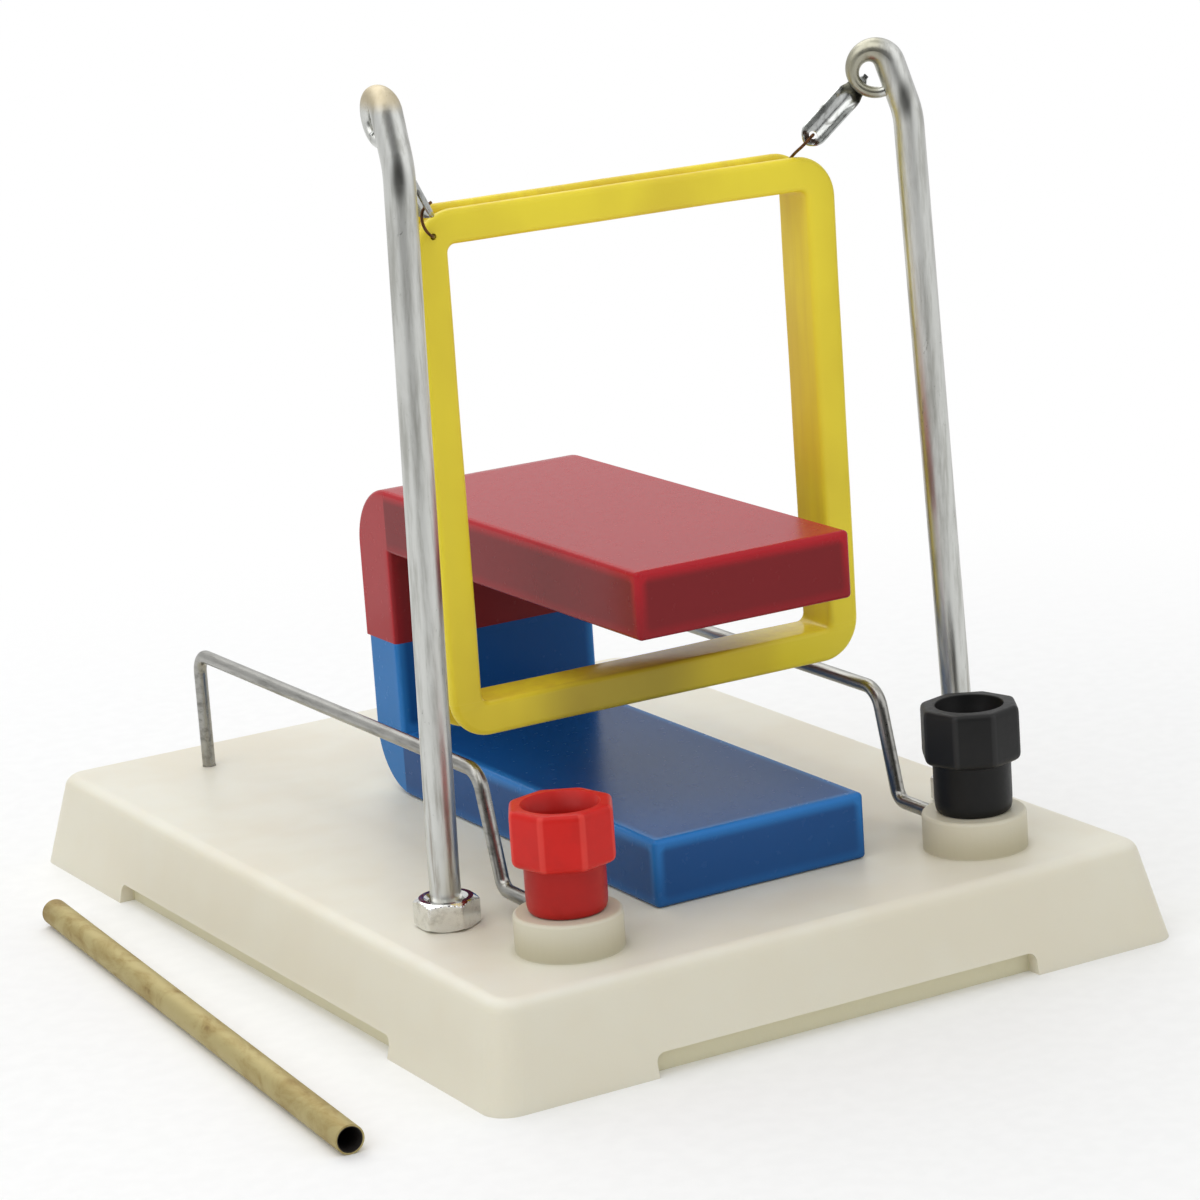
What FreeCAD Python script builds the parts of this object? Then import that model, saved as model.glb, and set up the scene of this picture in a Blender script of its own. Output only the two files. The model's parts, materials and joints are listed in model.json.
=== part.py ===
import FreeCAD, Part
import math
import os
import Sketcher

Vector = FreeCAD.Vector
Rotation = FreeCAD.Rotation
Placement = FreeCAD.Placement

# Teaching apparatus for the force on a current: a wound frame hangs from two bent posts, in the
# gap of a U magnet, on a moulded base with two screw terminals and a pair of rails for a loose tube.
# The origin is the centre of the base's footprint, on the surface that it stands on.
# X runs along the front edge, Y towards the back, Z up. Lengths in mm, angles in degrees.

sizes = {
    # moulded base, an open-bottomed tray with sloping walls
    "base_wide": 110,
    "base_deep": 150,
    "base_high": 14.2,
    "base_draft": 12.4,
    "base_wall": 2.5,
    "base_top_thick": 2.6,
    "base_corner_round": 4,
    "base_edge_round": 2.2,
    "base_inner_round": 2,
    "front_notch_wide": 61.2,
    "front_notch_high": 3.2,
    "side_notch_long": 89,
    "side_notch_high": 3,
    "notch_round": 1.3,
    # inner skirt of the tray, which shows through the notches
    "skirt_thick": 1.5,
    "skirt_lap": 1.5,
    # round bosses that carry the screw terminals
    "terminal_x": 33,
    "terminal_y": -57.6,
    "boss_wide": 14.8,
    "boss_high": 5.3,
    "boss_round": 0.5,
    # bent posts, each with a rolled thread at its foot
    "post_y": -38,
    "left_post_x": -41,
    "right_post_x": 44.7,
    "left_post_lean": 1,
    "right_post_lean": -2.3,
    "rod_wide": 4.3,
    "rod_thread_extra": 0.6,
    "rod_thread_above_base": 3,
    "rod_below_top": 9.6,
    "rod_bend_above_base": 9,
    "rod_bend_radius": 60,
    "rod_hole_gap": 0.25,
    # tapered eye at the top of each post, its height counted from the base's top
    "left_eye_rise": 109.7,
    "right_eye_rise": 107.65,
    "left_eye_turn": 91,
    "right_eye_turn": 150.6,
    "eye_past_rod": -0.05,
    "eye_tip_wide": 1.6,
    "eye_lead_in": 17,
    "eye_end": 288,
    "eye_taper_start": 20,
    "eye_taper_end": 230,
    "eye_neck_drop": 6.6,
    "eye_neck_radius": 12,
    # nuts, washers and ring tags on the posts
    "post_nut_across": 8,
    "post_nut_high": 4,
    "post_washer_wide": 10,
    "post_washer_thick": 1,
    "thread_gap": 0.05,
    "nut_face_share": 0.94,
    "tag_thick": 0.6,
    "post_tag_ring_wide": 9,
    "terminal_tag_ring_wide": 10.4,
    "tag_tail_wide": 2.4,
    "tag_reach": 9.4,
    "tag_barrel_long": 3.4,
    "tag_barrel_wide": 2.7,
    "tag_barrel_end": 0.6,
    "tag_wire_gap": 0.1,
    "left_post_tag_turn": -12,
    "red_terminal_tag_turn": 22,
    "right_post_tag_turn": 192,
    "black_terminal_tag_turn": 158,
    # screw terminals
    "stud_wide": 6,
    "stud_collar_wide": 8,
    "stud_collar_high": 0.8,
    "stud_above_boss": 9.8,
    "stud_below_top": 9.4,
    "stud_chamfer": 0.5,
    "socket_wide": 4.1,
    "socket_deep": 15,
    "terminal_nut_across": 10,
    "terminal_nut_high": 3.2,
    "terminal_washer_wide": 11.6,
    "terminal_washer_thick": 1,
    "cap_neck_wide": 11,
    "cap_neck_high": 6.6,
    "cap_head_across": 13.8,
    "cap_head_high": 8,
    "cap_mouth_wide": 8.6,
    "cap_mouth_deep": 7.4,
    "cap_recess_deep": 1,
    "cap_edge": 0.7,
    "cap_gap": 0.06,
    "red_cap_turn": 15.6,
    "black_cap_turn": 15.6,
    # bent rails, their heights counted from the base's top
    "rail_x": 32,
    "rail_wide": 2.05,
    "rail_rise": 18.8,
    "left_rail_rear_rise": 18.2,
    "right_rail_rear_rise": 18.8,
    "rail_foot_rise": 3,
    "rail_bottom": 5.6,
    "rail_stud_gap": 0.2,
    "left_rail_foot_y": -38,
    "right_rail_foot_y": -40.4,
    "left_rail_front_y": -33,
    "right_rail_front_y": -36.1,
    "rail_rear_y": 58.6,
    "rail_foot_radius": 2.2,
    "rail_front_radius": 3.6,
    "rail_rear_radius": 3,
    "rail_hole_gap": 0.05,
    "rail_socket_wide": 5.2,
    "rail_socket_bottom": 5,
    # wound frame, its height counted from the base's top
    "coil_x": -0.9,
    "coil_y": -27.6,
    "coil_rise": 22.9,
    "coil_wide": 66.9,
    "coil_high": 73.1,
    "coil_deep": 8,
    "coil_face": 4.82,
    "coil_corner_round": 6,
    "coil_window_round": 0.8,
    "coil_flange": 1.9,
    "coil_flange_round": 0.8,
    "coil_groove": 2.9,
    "winding_thick": 1.1,
    "tape_thick": 0.2,
    "winding_gap": 0.05,
    "lead_wide": 0.45,
    "lead_hole_wide": 0.9,
    "lead_hole_inset_x": 2.61,
    "lead_hole_inset_z": 3.37,
    "lead_stub": 0.9,
    "lead_tail": 0.45,
    "lead_tip_gap": 0.5,
    "left_lead_via_x": -34.6,
    "left_lead_via_y": -33.4,
    "left_lead_via_rise": 94.1,
    "right_lead_via_x": 26.6,
    "right_lead_via_y": -30.6,
    "right_lead_via_rise": 96.6,
    "right_lead_end_inset": 5.4,
    # links between the eyes and the frame
    "link_wide": 3.5,
    "link_thick": 0.35,
    "link_long": 11,
    "link_hole_at": 9.3,
    "link_hole_wide": 1.2,
    "link_bow_radius": 1.9,
    "link_tongue_wide": 0.9,
    "link_tongue_overlap": 0.8,
    "link_curl_gap": 0.7,
    "link_curl_turn": 115,
    "link_shoulder": 1.8,
    "link_shoulder_cut": 1,
    "left_hook_angle": 263,
    "right_hook_angle": 221,
    "left_link_turn": 97,
    "right_link_turn": 150.6,
    "left_link_end_x": -33.7,
    "left_link_end_y": -34,
    "left_link_end_rise": 97.45,
    "right_link_end_x": 28.39,
    "right_link_end_y": -32.75,
    "right_link_end_rise": 99.03,
    # U magnet in two plastic covers
    "magnet_x": 1.05,
    "magnet_front": -52.2,
    "magnet_long": 83.4,
    "magnet_wide": 34.3,
    "magnet_high": 47.2,
    "magnet_leg": 9.6,
    "magnet_back": 10,
    "magnet_split": 23.6,
    "magnet_lip": 1.1,
    "magnet_back_round": 9.5,
    "magnet_edge_round": 0.7,
    "magnet_cover_wall": 1.6,
    "magnet_hollow_cut": 0.55,
    "magnet_floor_gap": 0.05,
    "yoke_thick": 2,
    "pole_block_long": 42,
    "core_gap": 0.1,
    # loose brass tube that rolls on the rails, lying beside the base
    "tube_wide": 4,
    "tube_wall": 0.35,
    "tube_long": 114,
    "tube_from_base": 15.7,
    "tube_y": -15.6,
    "tube_turn": -3.9,
    # insulated leads under the base
    "wire_wide": 1.6,
    "wire_drop": 1.6,
    "wire_reach": 9,
}

doc = FreeCAD.newDocument("AmpereForceApparatus")
sheet = doc.addObject("Spreadsheet::Sheet", "Sizes")
for row, (alias, value) in enumerate(sizes.items(), start=1):
    sheet.set(f"A{row}", alias)
    sheet.set(f"B{row}", str(value))
    sheet.setAlias(f"B{row}", alias)
doc.recompute()

exported = []


def size(alias):
    return float(sheet.get(alias))


def cell(expression):
    """Turns the plain aliases of an expression into references to the sheet."""
    words = {alias: f"Sizes.{alias}" for alias in sizes}
    parts = []
    word = ""
    for letter in expression + " ":
        if letter.isalnum() or letter == "_":
            word += letter
            continue
        parts.append(words.get(word, word) + letter)
        word = ""
    return "".join(parts).strip()


def bind(target, name, expression):
    target.setExpression(name, cell(expression))


def value_of(expression):
    result = sheet.evalExpression(cell(expression))
    return float(getattr(result, "Value", result))


def above_base(alias):
    return size("base_high") + size(alias)


def place_of(name):
    """A point given by two plain coordinates and its rise over the base's top."""
    return Vector(size(f"{name}_x"), size(f"{name}_y"), above_base(f"{name}_rise"))


# sizes that follow from others
under_top = "(base_high - base_top_thick)"
rod_thread_wide = "(rod_wide + rod_thread_extra)"
eye_outer_radius = "(rod_wide + eye_past_rod)"
coil_bottom = "(base_high + coil_rise)"
link_curl_radius = "(eye_tip_wide / 2 + link_curl_gap)"

# Helpers for bodies and sketches

def new_body(label, export=True):
    body = doc.addObject("PartDesign::Body", label)
    body.Label = label
    if export:
        exported.append(body)
    return body


def place(target, x="0", y="0", z="0"):
    for axis, expression in zip("xyz", (x, y, z)):
        bind(target, f"Placement.Base.{axis}", expression)


def turn_level(target, expression):
    """Turns a body about the upright through its own origin."""
    target.Placement.Rotation = Rotation(Vector(0, 0, 1), 1)
    bind(target, "Placement.Rotation.Angle", expression)


def new_sketch(body, name, role, offset="0"):
    """The sketch lies on one of the body's own planes, moved along its normal by offset."""
    sketch = body.newObject("Sketcher::SketchObject", f"{body.Name}_{name}")
    support = [item for item in body.Origin.OriginFeatures if item.Role == role][0]
    sketch.AttachmentSupport = (support, [""])
    sketch.MapMode = "FlatFace"
    bind(sketch, "AttachmentOffset.Base.z", offset)
    return sketch


def tie(sketch, kind, items, expression):
    index = sketch.addConstraint(Sketcher.Constraint(kind, *items, value_of(expression)))
    sketch.setExpression(f"Constraints[{index}]", cell(expression))


def polygon(sketch, corners):
    points = [Vector(value_of(across), value_of(along), 0) for across, along in corners]
    first = sketch.GeometryCount
    for index, point in enumerate(points):
        sketch.addGeometry(Part.LineSegment(point, points[(index + 1) % len(points)]))
    for index, (across, along) in enumerate(corners):
        line = first + index
        following = first + (index + 1) % len(corners)
        sketch.addConstraint(Sketcher.Constraint("Coincident", line, 2, following, 1))
        tie(sketch, "DistanceX", (-1, 1, line, 1), across)
        tie(sketch, "DistanceY", (-1, 1, line, 1), along)


def rectangle(sketch, left, right, low, high):
    polygon(sketch, [(left, low), (right, low), (right, high), (left, high)])


def regular_polygon(sketch, sides, across):
    """Sides of equal length round the sketch's own origin, across measured between flats."""
    radius = f"({across}) / 2 / cos({180 / sides})"
    angles = [(index + 0.5) * 360 / sides for index in range(sides)]
    polygon(sketch, [(f"{radius} * cos({angle})", f"{radius} * sin({angle})") for angle in angles])


def circle(sketch, wide, across="0", along="0"):
    centre = Vector(value_of(across), value_of(along), 0)
    index = sketch.addGeometry(Part.Circle(centre, Vector(0, 0, 1), value_of(wide) / 2))
    tie(sketch, "Radius", (index,), f"({wide}) / 2")
    tie(sketch, "DistanceX", (-1, 1, index, 3), across)
    tie(sketch, "DistanceY", (-1, 1, index, 3), along)


def pad(body, sketch, length, midplane=False, taper=None):
    feature = body.newObject("PartDesign::Pad", f"{sketch.Name}_pad")
    feature.Profile = sketch
    feature.Midplane = midplane
    bind(feature, "Length", length)
    if taper:
        bind(feature, "TaperAngle", taper)
    doc.recompute()
    return feature


def pocket(body, sketch, length=None, midplane=False, reverse=False, taper=None):
    """Without a length the pocket goes through everything. It has to take some material away."""
    before = body.Shape.Volume
    feature = body.newObject("PartDesign::Pocket", f"{sketch.Name}_pocket")
    feature.Profile = sketch
    feature.Midplane = midplane
    feature.Reversed = reverse
    if length:
        bind(feature, "Length", length)
    else:
        feature.Type = 1
    if taper:
        bind(feature, "TaperAngle", taper)
    doc.recompute()
    if body.Shape.Volume > before - 1e-3:
        raise RuntimeError(f"{feature.Name} takes nothing away")
    return feature


def dress(body, kind, name, amount, wanted):
    """Rounds or chamfers those edges of the body's shape that wanted accepts."""
    tip = body.Tip
    edges = [f"Edge{index}" for index, edge in enumerate(tip.Shape.Edges, start=1) if wanted(edge)]
    if not edges:
        raise RuntimeError(f"{body.Name} has no edge for {name}")
    feature = body.newObject(f"PartDesign::{kind}", f"{body.Name}_{name}")
    feature.Base = (tip, edges)
    bind(feature, "Radius" if kind == "Fillet" else "Size", amount)
    doc.recompute()
    return feature


def middle(edge):
    return edge.valueAt((edge.FirstParameter + edge.LastParameter) / 2)


def at_height(edge, height, near=1e-4):
    return edge.BoundBox.ZMax - edge.BoundBox.ZMin < near and abs(middle(edge).z - height) < near


def runs_along(edge, axis, near=0.98):
    span = edge.valueAt(edge.LastParameter) - edge.valueAt(edge.FirstParameter)
    straight = span.Length > 0 and abs(edge.Length - span.Length) < 1e-6
    return straight and abs(getattr(span, axis)) > near * span.Length


def group(label, bodies):
    """Like pieces share one sub-part, each piece a solid of its own."""
    compound = doc.addObject("Part::Compound", label)
    compound.Label = label
    compound.Links = bodies
    exported.append(compound)
    return compound


def free_form(label, shape):
    feature = doc.addObject("Part::Feature", label)
    feature.Label = label
    feature.Shape = shape
    exported.append(feature)
    return feature


# Helpers for bent wire

def bent_path(points, radii):
    """Straight runs between the points, joined by arcs of the given radii."""
    edges = []
    start = points[0]
    for index, radius in enumerate(radii, start=1):
        corner = points[index]
        back = (points[index - 1] - corner).normalize()
        ahead = (points[index + 1] - corner).normalize()
        half = back.getAngle(ahead) / 2
        reach = radius / math.tan(half)
        inward = (back + ahead).normalize()
        arc_middle = corner + inward * (radius / math.sin(half) - radius)
        arc_start = corner + back * reach
        arc_end = corner + ahead * reach
        edges.append(Part.LineSegment(start, arc_start).toShape())
        edges.append(Part.Arc(arc_start, arc_middle, arc_end).toShape())
        start = arc_end
    edges.append(Part.LineSegment(start, points[-1]).toShape())
    return Part.Wire(edges)


def disc_wire(centre, direction, wide):
    return Part.Wire([Part.Circle(centre, direction, wide / 2).toShape()])


def bent_rod(points, radii, wide):
    """A round rod along a bent path; its volume has to be its section times its length."""
    path = bent_path(points, radii)
    start = disc_wire(points[0], points[1] - points[0], wide)
    solid = path.makePipeShell([start], True, False)
    expected = math.pi * wide ** 2 / 4 * path.Length
    if abs(solid.Volume / expected - 1) > 0.01:
        raise RuntimeError("a bent rod lost its section")
    return solid


def tangent_radii(points, share=0.45):
    """For each corner the radius that uses the same share of its shorter run."""
    radii = []
    for index in range(1, len(points) - 1):
        back = points[index - 1] - points[index]
        ahead = points[index + 1] - points[index]
        half_turn = (math.pi - back.getAngle(ahead)) / 2
        radii.append(share * min(back.Length, ahead.Length) / math.tan(half_turn))
    return radii


# Base

def make_base():
    body = new_body("base")
    outer = new_sketch(body, "outline", "XY_Plane")
    rectangle(outer, "-base_wide / 2", "base_wide / 2", "-base_deep / 2", "base_deep / 2")
    pad(body, outer, "base_high", taper="-base_draft")
    dress(body, "Fillet", "corners", "base_corner_round", lambda edge: edge.BoundBox.ZLength > 1)
    top = size("base_high")
    dress(body, "Fillet", "top_edge", "base_edge_round", lambda edge: at_height(edge, top))

    inner = new_sketch(body, "hollow", "XY_Plane")
    half_wide = "(base_wide / 2 - base_wall)"
    half_deep = "(base_deep / 2 - base_wall)"
    rectangle(inner, f"-{half_wide}", half_wide, f"-{half_deep}", half_deep)
    pocket(body, inner, "base_high - base_top_thick", reverse=True, taper="-base_draft")
    inside_x = value_of(half_wide)
    inside_y = value_of(half_deep)
    dress(body, "Fillet", "hollow_corners", "base_inner_round",
          lambda edge: edge.BoundBox.ZLength > 1 and abs(middle(edge).x) < inside_x
          and abs(middle(edge).y) < inside_y)

    front = new_sketch(body, "front_notch", "XZ_Plane")
    rectangle(front, "-front_notch_wide / 2", "front_notch_wide / 2", "-1", "front_notch_high")
    pocket(body, front, midplane=True)
    side = new_sketch(body, "side_notch", "YZ_Plane")
    rectangle(side, "-side_notch_long / 2", "side_notch_long / 2", "-1", "side_notch_high")
    pocket(body, side, midplane=True)
    front_high = size("front_notch_high")
    side_high = size("side_notch_high")
    dress(body, "Fillet", "notch_corners", "notch_round",
          lambda edge: (runs_along(edge, "y") and at_height(edge, front_high)
                        and abs(abs(middle(edge).x) - size("front_notch_wide") / 2) < 0.01)
          or (runs_along(edge, "x") and at_height(edge, side_high)
              and abs(abs(middle(edge).y) - size("side_notch_long") / 2) < 0.01))

    skirt = new_sketch(body, "skirt", "XY_Plane")
    rectangle(skirt, f"-{half_wide}", half_wide, f"-{half_deep}", half_deep)
    rectangle(skirt, f"-{half_wide} + skirt_thick", f"{half_wide} - skirt_thick",
              f"-{half_deep} + skirt_thick", f"{half_deep} - skirt_thick")
    pad(body, skirt, "front_notch_high + skirt_lap")

    bosses = new_sketch(body, "bosses", "XY_Plane", "base_high - base_top_thick / 2")
    circle(bosses, "boss_wide", "-terminal_x", "terminal_y")
    circle(bosses, "boss_wide", "terminal_x", "terminal_y")
    pad(body, bosses, "boss_high + base_top_thick / 2")
    boss_top = top + size("boss_high")
    dress(body, "Fillet", "boss_edges", "boss_round", lambda edge: at_height(edge, boss_top))

    sockets = new_sketch(body, "rail_sockets", "XY_Plane", "rail_socket_bottom")
    circle(sockets, "rail_socket_wide", "-rail_x", "rail_rear_y")
    circle(sockets, "rail_socket_wide", "rail_x", "rail_rear_y")
    pad(body, sockets, "base_high - rail_socket_bottom - base_top_thick / 2")

    holes = new_sketch(body, "holes", "XY_Plane")
    rod_hole = f"{rod_thread_wide} + 2 * rod_hole_gap"
    stud_hole = "stud_wide + 2 * cap_gap"
    rail_hole = "rail_wide + 2 * rail_hole_gap"
    circle(holes, rod_hole, "left_post_x", "post_y")
    circle(holes, rod_hole, "right_post_x", "post_y")
    circle(holes, stud_hole, "-terminal_x", "terminal_y")
    circle(holes, stud_hole, "terminal_x", "terminal_y")
    circle(holes, rail_hole, "-rail_x", "rail_rear_y")
    circle(holes, rail_hole, "rail_x", "rail_rear_y")
    pocket(body, holes, reverse=True)

    # the rails' front ends go into the backs of the bosses, up to the studs
    rails = new_sketch(body, "rail_entries", "XZ_Plane", "-terminal_y")
    circle(rails, rail_hole, "-rail_x", "base_high + rail_foot_rise")
    circle(rails, rail_hole, "rail_x", "base_high + rail_foot_rise")
    pocket(body, rails, "boss_wide")


# Posts

def eye_section(turned):
    """Thickness of the eye, which tapers from the rod to its tip as it goes round."""
    start = size("eye_taper_start")
    share = (turned - start) / (size("eye_taper_end") - start)
    share = min(max(share, 0), 1)
    left = 1 - share * share * (3 - 2 * share)
    return size("eye_tip_wide") + (size("rod_wide") - size("eye_tip_wide")) * left


def eye_frame(side):
    """Centre of the eye and the level direction from the rod towards it."""
    turn = math.radians(size(f"{side}_eye_turn"))
    towards = Vector(math.cos(turn), math.sin(turn), 0)
    lean = math.tan(math.radians(size(f"{side}_post_lean")))
    neck = post_neck(side, lean)
    lead = math.radians(size("eye_lead_in"))
    radius = value_of(eye_outer_radius) - eye_section(size("eye_lead_in")) / 2
    rise = size("eye_neck_drop") + radius * math.sin(lead)
    across = rise * math.tan(lead) + radius * math.cos(lead)
    return neck + towards * across + Vector(0, 0, size("eye_neck_drop")), towards


def post_neck(side, lean):
    height = above_base(f"{side}_eye_rise") - size("eye_neck_drop")
    bend = size("base_high") + size("rod_bend_above_base")
    return Vector(size(f"{side}_post_x") + lean * (height - bend), size("post_y"), height)


def eye_point(side, turned):
    """Point on the eye's centreline and the direction of the wire there."""
    centre, towards = eye_frame(side)
    angle = math.radians(turned)

    def at(value):
        radius = value_of(eye_outer_radius) - eye_section(math.degrees(value)) / 2
        return centre - towards * (radius * math.cos(value)) + Vector(0, 0, radius * math.sin(value))

    step = 1e-4
    return at(angle), (at(angle + step) - at(angle - step)).normalize()


def make_post(side):
    lean = math.tan(math.radians(size(f"{side}_post_lean")))
    foot = Vector(size(f"{side}_post_x"), size("post_y"), value_of("base_high - rod_below_top"))
    thread_top = Vector(foot.x, foot.y, above_base("rod_thread_above_base"))
    bend = Vector(foot.x, foot.y, size("base_high") + size("rod_bend_above_base"))
    neck = post_neck(side, lean)
    lead_in = size("eye_lead_in")
    joint, _ = eye_point(side, lead_in)
    thread = Part.makeCylinder(value_of(rod_thread_wide) / 2, thread_top.z - foot.z, foot)
    stem = bent_rod([thread_top, bend, neck, joint],
                    [size("rod_bend_radius"), size("eye_neck_radius")], size("rod_wide"))
    count = 13
    rings = []
    for index in range(count):
        turned = lead_in + (size("eye_end") - lead_in) * index / (count - 1)
        point, direction = eye_point(side, turned)
        rings.append(disc_wire(point, direction, eye_section(turned)))
    eye = Part.makeLoft(rings, True, False)
    return free_form(f"{side}_post", thread.fuse([stem, eye]).removeSplitter())


# Nuts, washers and tags

def make_nut(name, across, high, bore, at):
    body = new_body(name, export=False)
    hexagon = new_sketch(body, "hexagon", "XY_Plane")
    regular_polygon(hexagon, 6, across)
    pad(body, hexagon, high)
    # the corners are turned off under a cone at both ends
    cone = new_sketch(body, "turned_corners", "XZ_Plane")
    corner = f"({across} / 2 / cos(30))"
    face = f"({across} / 2 * nut_face_share)"
    fall = f"(({corner} - {face}) * tan(30))"
    polygon(cone, [(f"{corner} + 1", "-1"), (f"{corner} + 1", f"{high} + 1"),
                   (face, f"{high} + 1"), (face, high),
                   (corner, f"{high} - {fall}"), (corner, fall),
                   (face, "0"), (face, "-1")])
    groove = body.newObject("PartDesign::Groove", f"{name}_cone")
    groove.Profile = cone
    groove.ReferenceAxis = (cone, ["V_Axis"])
    groove.Angle = 360
    hole = new_sketch(body, "bore", "XY_Plane")
    circle(hole, bore)
    pocket(body, hole, reverse=True)
    place(body, *at)
    return body


def make_washer(name, wide, thick, bore, at):
    body = new_body(name, export=False)
    ring = new_sketch(body, "ring", "XY_Plane")
    circle(ring, wide)
    circle(ring, bore)
    pad(body, ring, thick)
    place(body, *at)
    return body


post_places = {"left": ("left_post_x", "post_y"), "right": ("right_post_x", "post_y")}
terminal_places = {"red": ("-terminal_x", "terminal_y"), "black": ("terminal_x", "terminal_y")}
post_bore = f"{rod_thread_wide} + 2 * thread_gap"
stud_bore = "stud_wide + 2 * thread_gap"


def make_post_fasteners():
    washer_z = f"{under_top} - post_washer_thick"
    nut_z = f"{washer_z} - tag_thick - post_nut_high"
    top_nuts = []
    bottom_nuts = []
    washers = []
    for side, (across, along) in post_places.items():
        top_nuts.append(make_nut(f"{side}_top_nut", "post_nut_across", "post_nut_high", post_bore,
                                 (across, along, "base_high")))
        bottom_nuts.append(make_nut(f"{side}_bottom_nut", "post_nut_across", "post_nut_high",
                                    post_bore, (across, along, nut_z)))
        washers.append(make_washer(f"{side}_washer", "post_washer_wide", "post_washer_thick",
                                   post_bore, (across, along, washer_z)))
    group("post_top_nuts", top_nuts)
    group("post_bottom_nuts", bottom_nuts)
    group("post_washers", washers)


def make_terminal_fasteners():
    washer_z = f"{under_top} - terminal_washer_thick"
    nut_z = f"{washer_z} - tag_thick - terminal_nut_high"
    nuts = []
    washers = []
    for colour, (across, along) in terminal_places.items():
        nuts.append(make_nut(f"{colour}_nut", "terminal_nut_across", "terminal_nut_high", stud_bore,
                             (across, along, nut_z)))
        washers.append(make_washer(f"{colour}_washer", "terminal_washer_wide",
                                   "terminal_washer_thick", stud_bore, (across, along, washer_z)))
    group("terminal_nuts", nuts)
    group("terminal_washers", washers)


def make_tag(name, ring_wide, bore, across, along, washer_thick):
    """A ring under the nut, a flat tail and a crimped barrel that grips the wire."""
    body = new_body(f"{name}_tag", export=False)
    ring = new_sketch(body, "ring", "XY_Plane")
    circle(ring, ring_wide)
    pad(body, ring, "tag_thick")
    tail = new_sketch(body, "tail", "XY_Plane")
    rectangle(tail, "0", "tag_reach - tag_barrel_long / 2", "-tag_tail_wide / 2", "tag_tail_wide / 2")
    pad(body, tail, "tag_thick")
    barrel = new_sketch(body, "barrel", "YZ_Plane", "tag_reach - tag_barrel_long")
    height = f"({washer_thick} + tag_thick - wire_drop)"
    circle(barrel, "tag_barrel_wide", "0", height)
    pad(body, barrel, "tag_barrel_long")
    hole = new_sketch(body, "bore", "XY_Plane")
    circle(hole, bore)
    pocket(body, hole, reverse=True)
    wire_hole = new_sketch(body, "wire_hole", "YZ_Plane",
                           "tag_reach - tag_barrel_long + tag_barrel_end")
    circle(wire_hole, "wire_wide + 2 * thread_gap", "0", height)
    pocket(body, wire_hole, "tag_barrel_long", reverse=True)
    place(body, across, along, f"{under_top} - {washer_thick} - tag_thick")
    turn_level(body, f"{name}_tag_turn")
    return body


def make_tags():
    post_tags = []
    terminal_tags = []
    for side, (across, along) in post_places.items():
        post_tags.append(make_tag(f"{side}_post", "post_tag_ring_wide", post_bore, across, along,
                                  "post_washer_thick"))
    for colour, (across, along) in terminal_places.items():
        terminal_tags.append(make_tag(f"{colour}_terminal", "terminal_tag_ring_wide", stud_bore,
                                      across, along, "terminal_washer_thick"))
    group("post_tags", post_tags)
    group("terminal_tags", terminal_tags)


def make_lead_wire(side, colour):
    """The wire leaves both tags level and turns back between them, clear of the base's walls."""
    height = value_of(f"{under_top} - wire_drop")
    out = size("wire_reach")
    seat = value_of("tag_reach - tag_barrel_long + tag_barrel_end + tag_wire_gap")

    def along_tag(name, places, reach):
        turn = math.radians(size(f"{name}_tag_turn"))
        centre = Vector(value_of(places[0]), value_of(places[1]), height)
        return centre + Vector(math.cos(turn), math.sin(turn), 0) * reach

    post_tag = (f"{side}_post", post_places[side])
    terminal_tag = (f"{colour}_terminal", terminal_places[colour])
    points = [
        along_tag(*terminal_tag, seat),
        along_tag(*terminal_tag, seat + out),
        along_tag(*post_tag, seat + out + abs(value_of(post_places[side][0])) - size("terminal_x")),
        along_tag(*post_tag, seat),
    ]
    radii = tangent_radii(points)
    print(f"{side} lead wire bends at", [round(radius, 1) for radius in radii])
    free_form(f"{side}_lead_wire", bent_rod(points, radii, size("wire_wide")))


# Screw terminals

def make_stud(colour):
    across, along = terminal_places[colour]
    body = new_body(f"{colour}_terminal_stud")
    full = "(stud_below_top + boss_high + stud_above_boss)"
    shank = new_sketch(body, "shank", "XY_Plane")
    circle(shank, "stud_wide")
    pad(body, shank, full)
    collar_low = "stud_below_top + boss_high"
    collar = new_sketch(body, "collar", "XY_Plane", collar_low)
    circle(collar, "stud_collar_wide")
    pad(body, collar, "stud_collar_high")
    length = value_of(full)
    dress(body, "Chamfer", "ends", "stud_chamfer",
          lambda edge: at_height(edge, length) or at_height(edge, 0))
    socket = new_sketch(body, "socket", "XY_Plane", full)
    circle(socket, "socket_wide")
    pocket(body, socket, "socket_deep")
    place(body, across, along, "base_high - stud_below_top")


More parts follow.
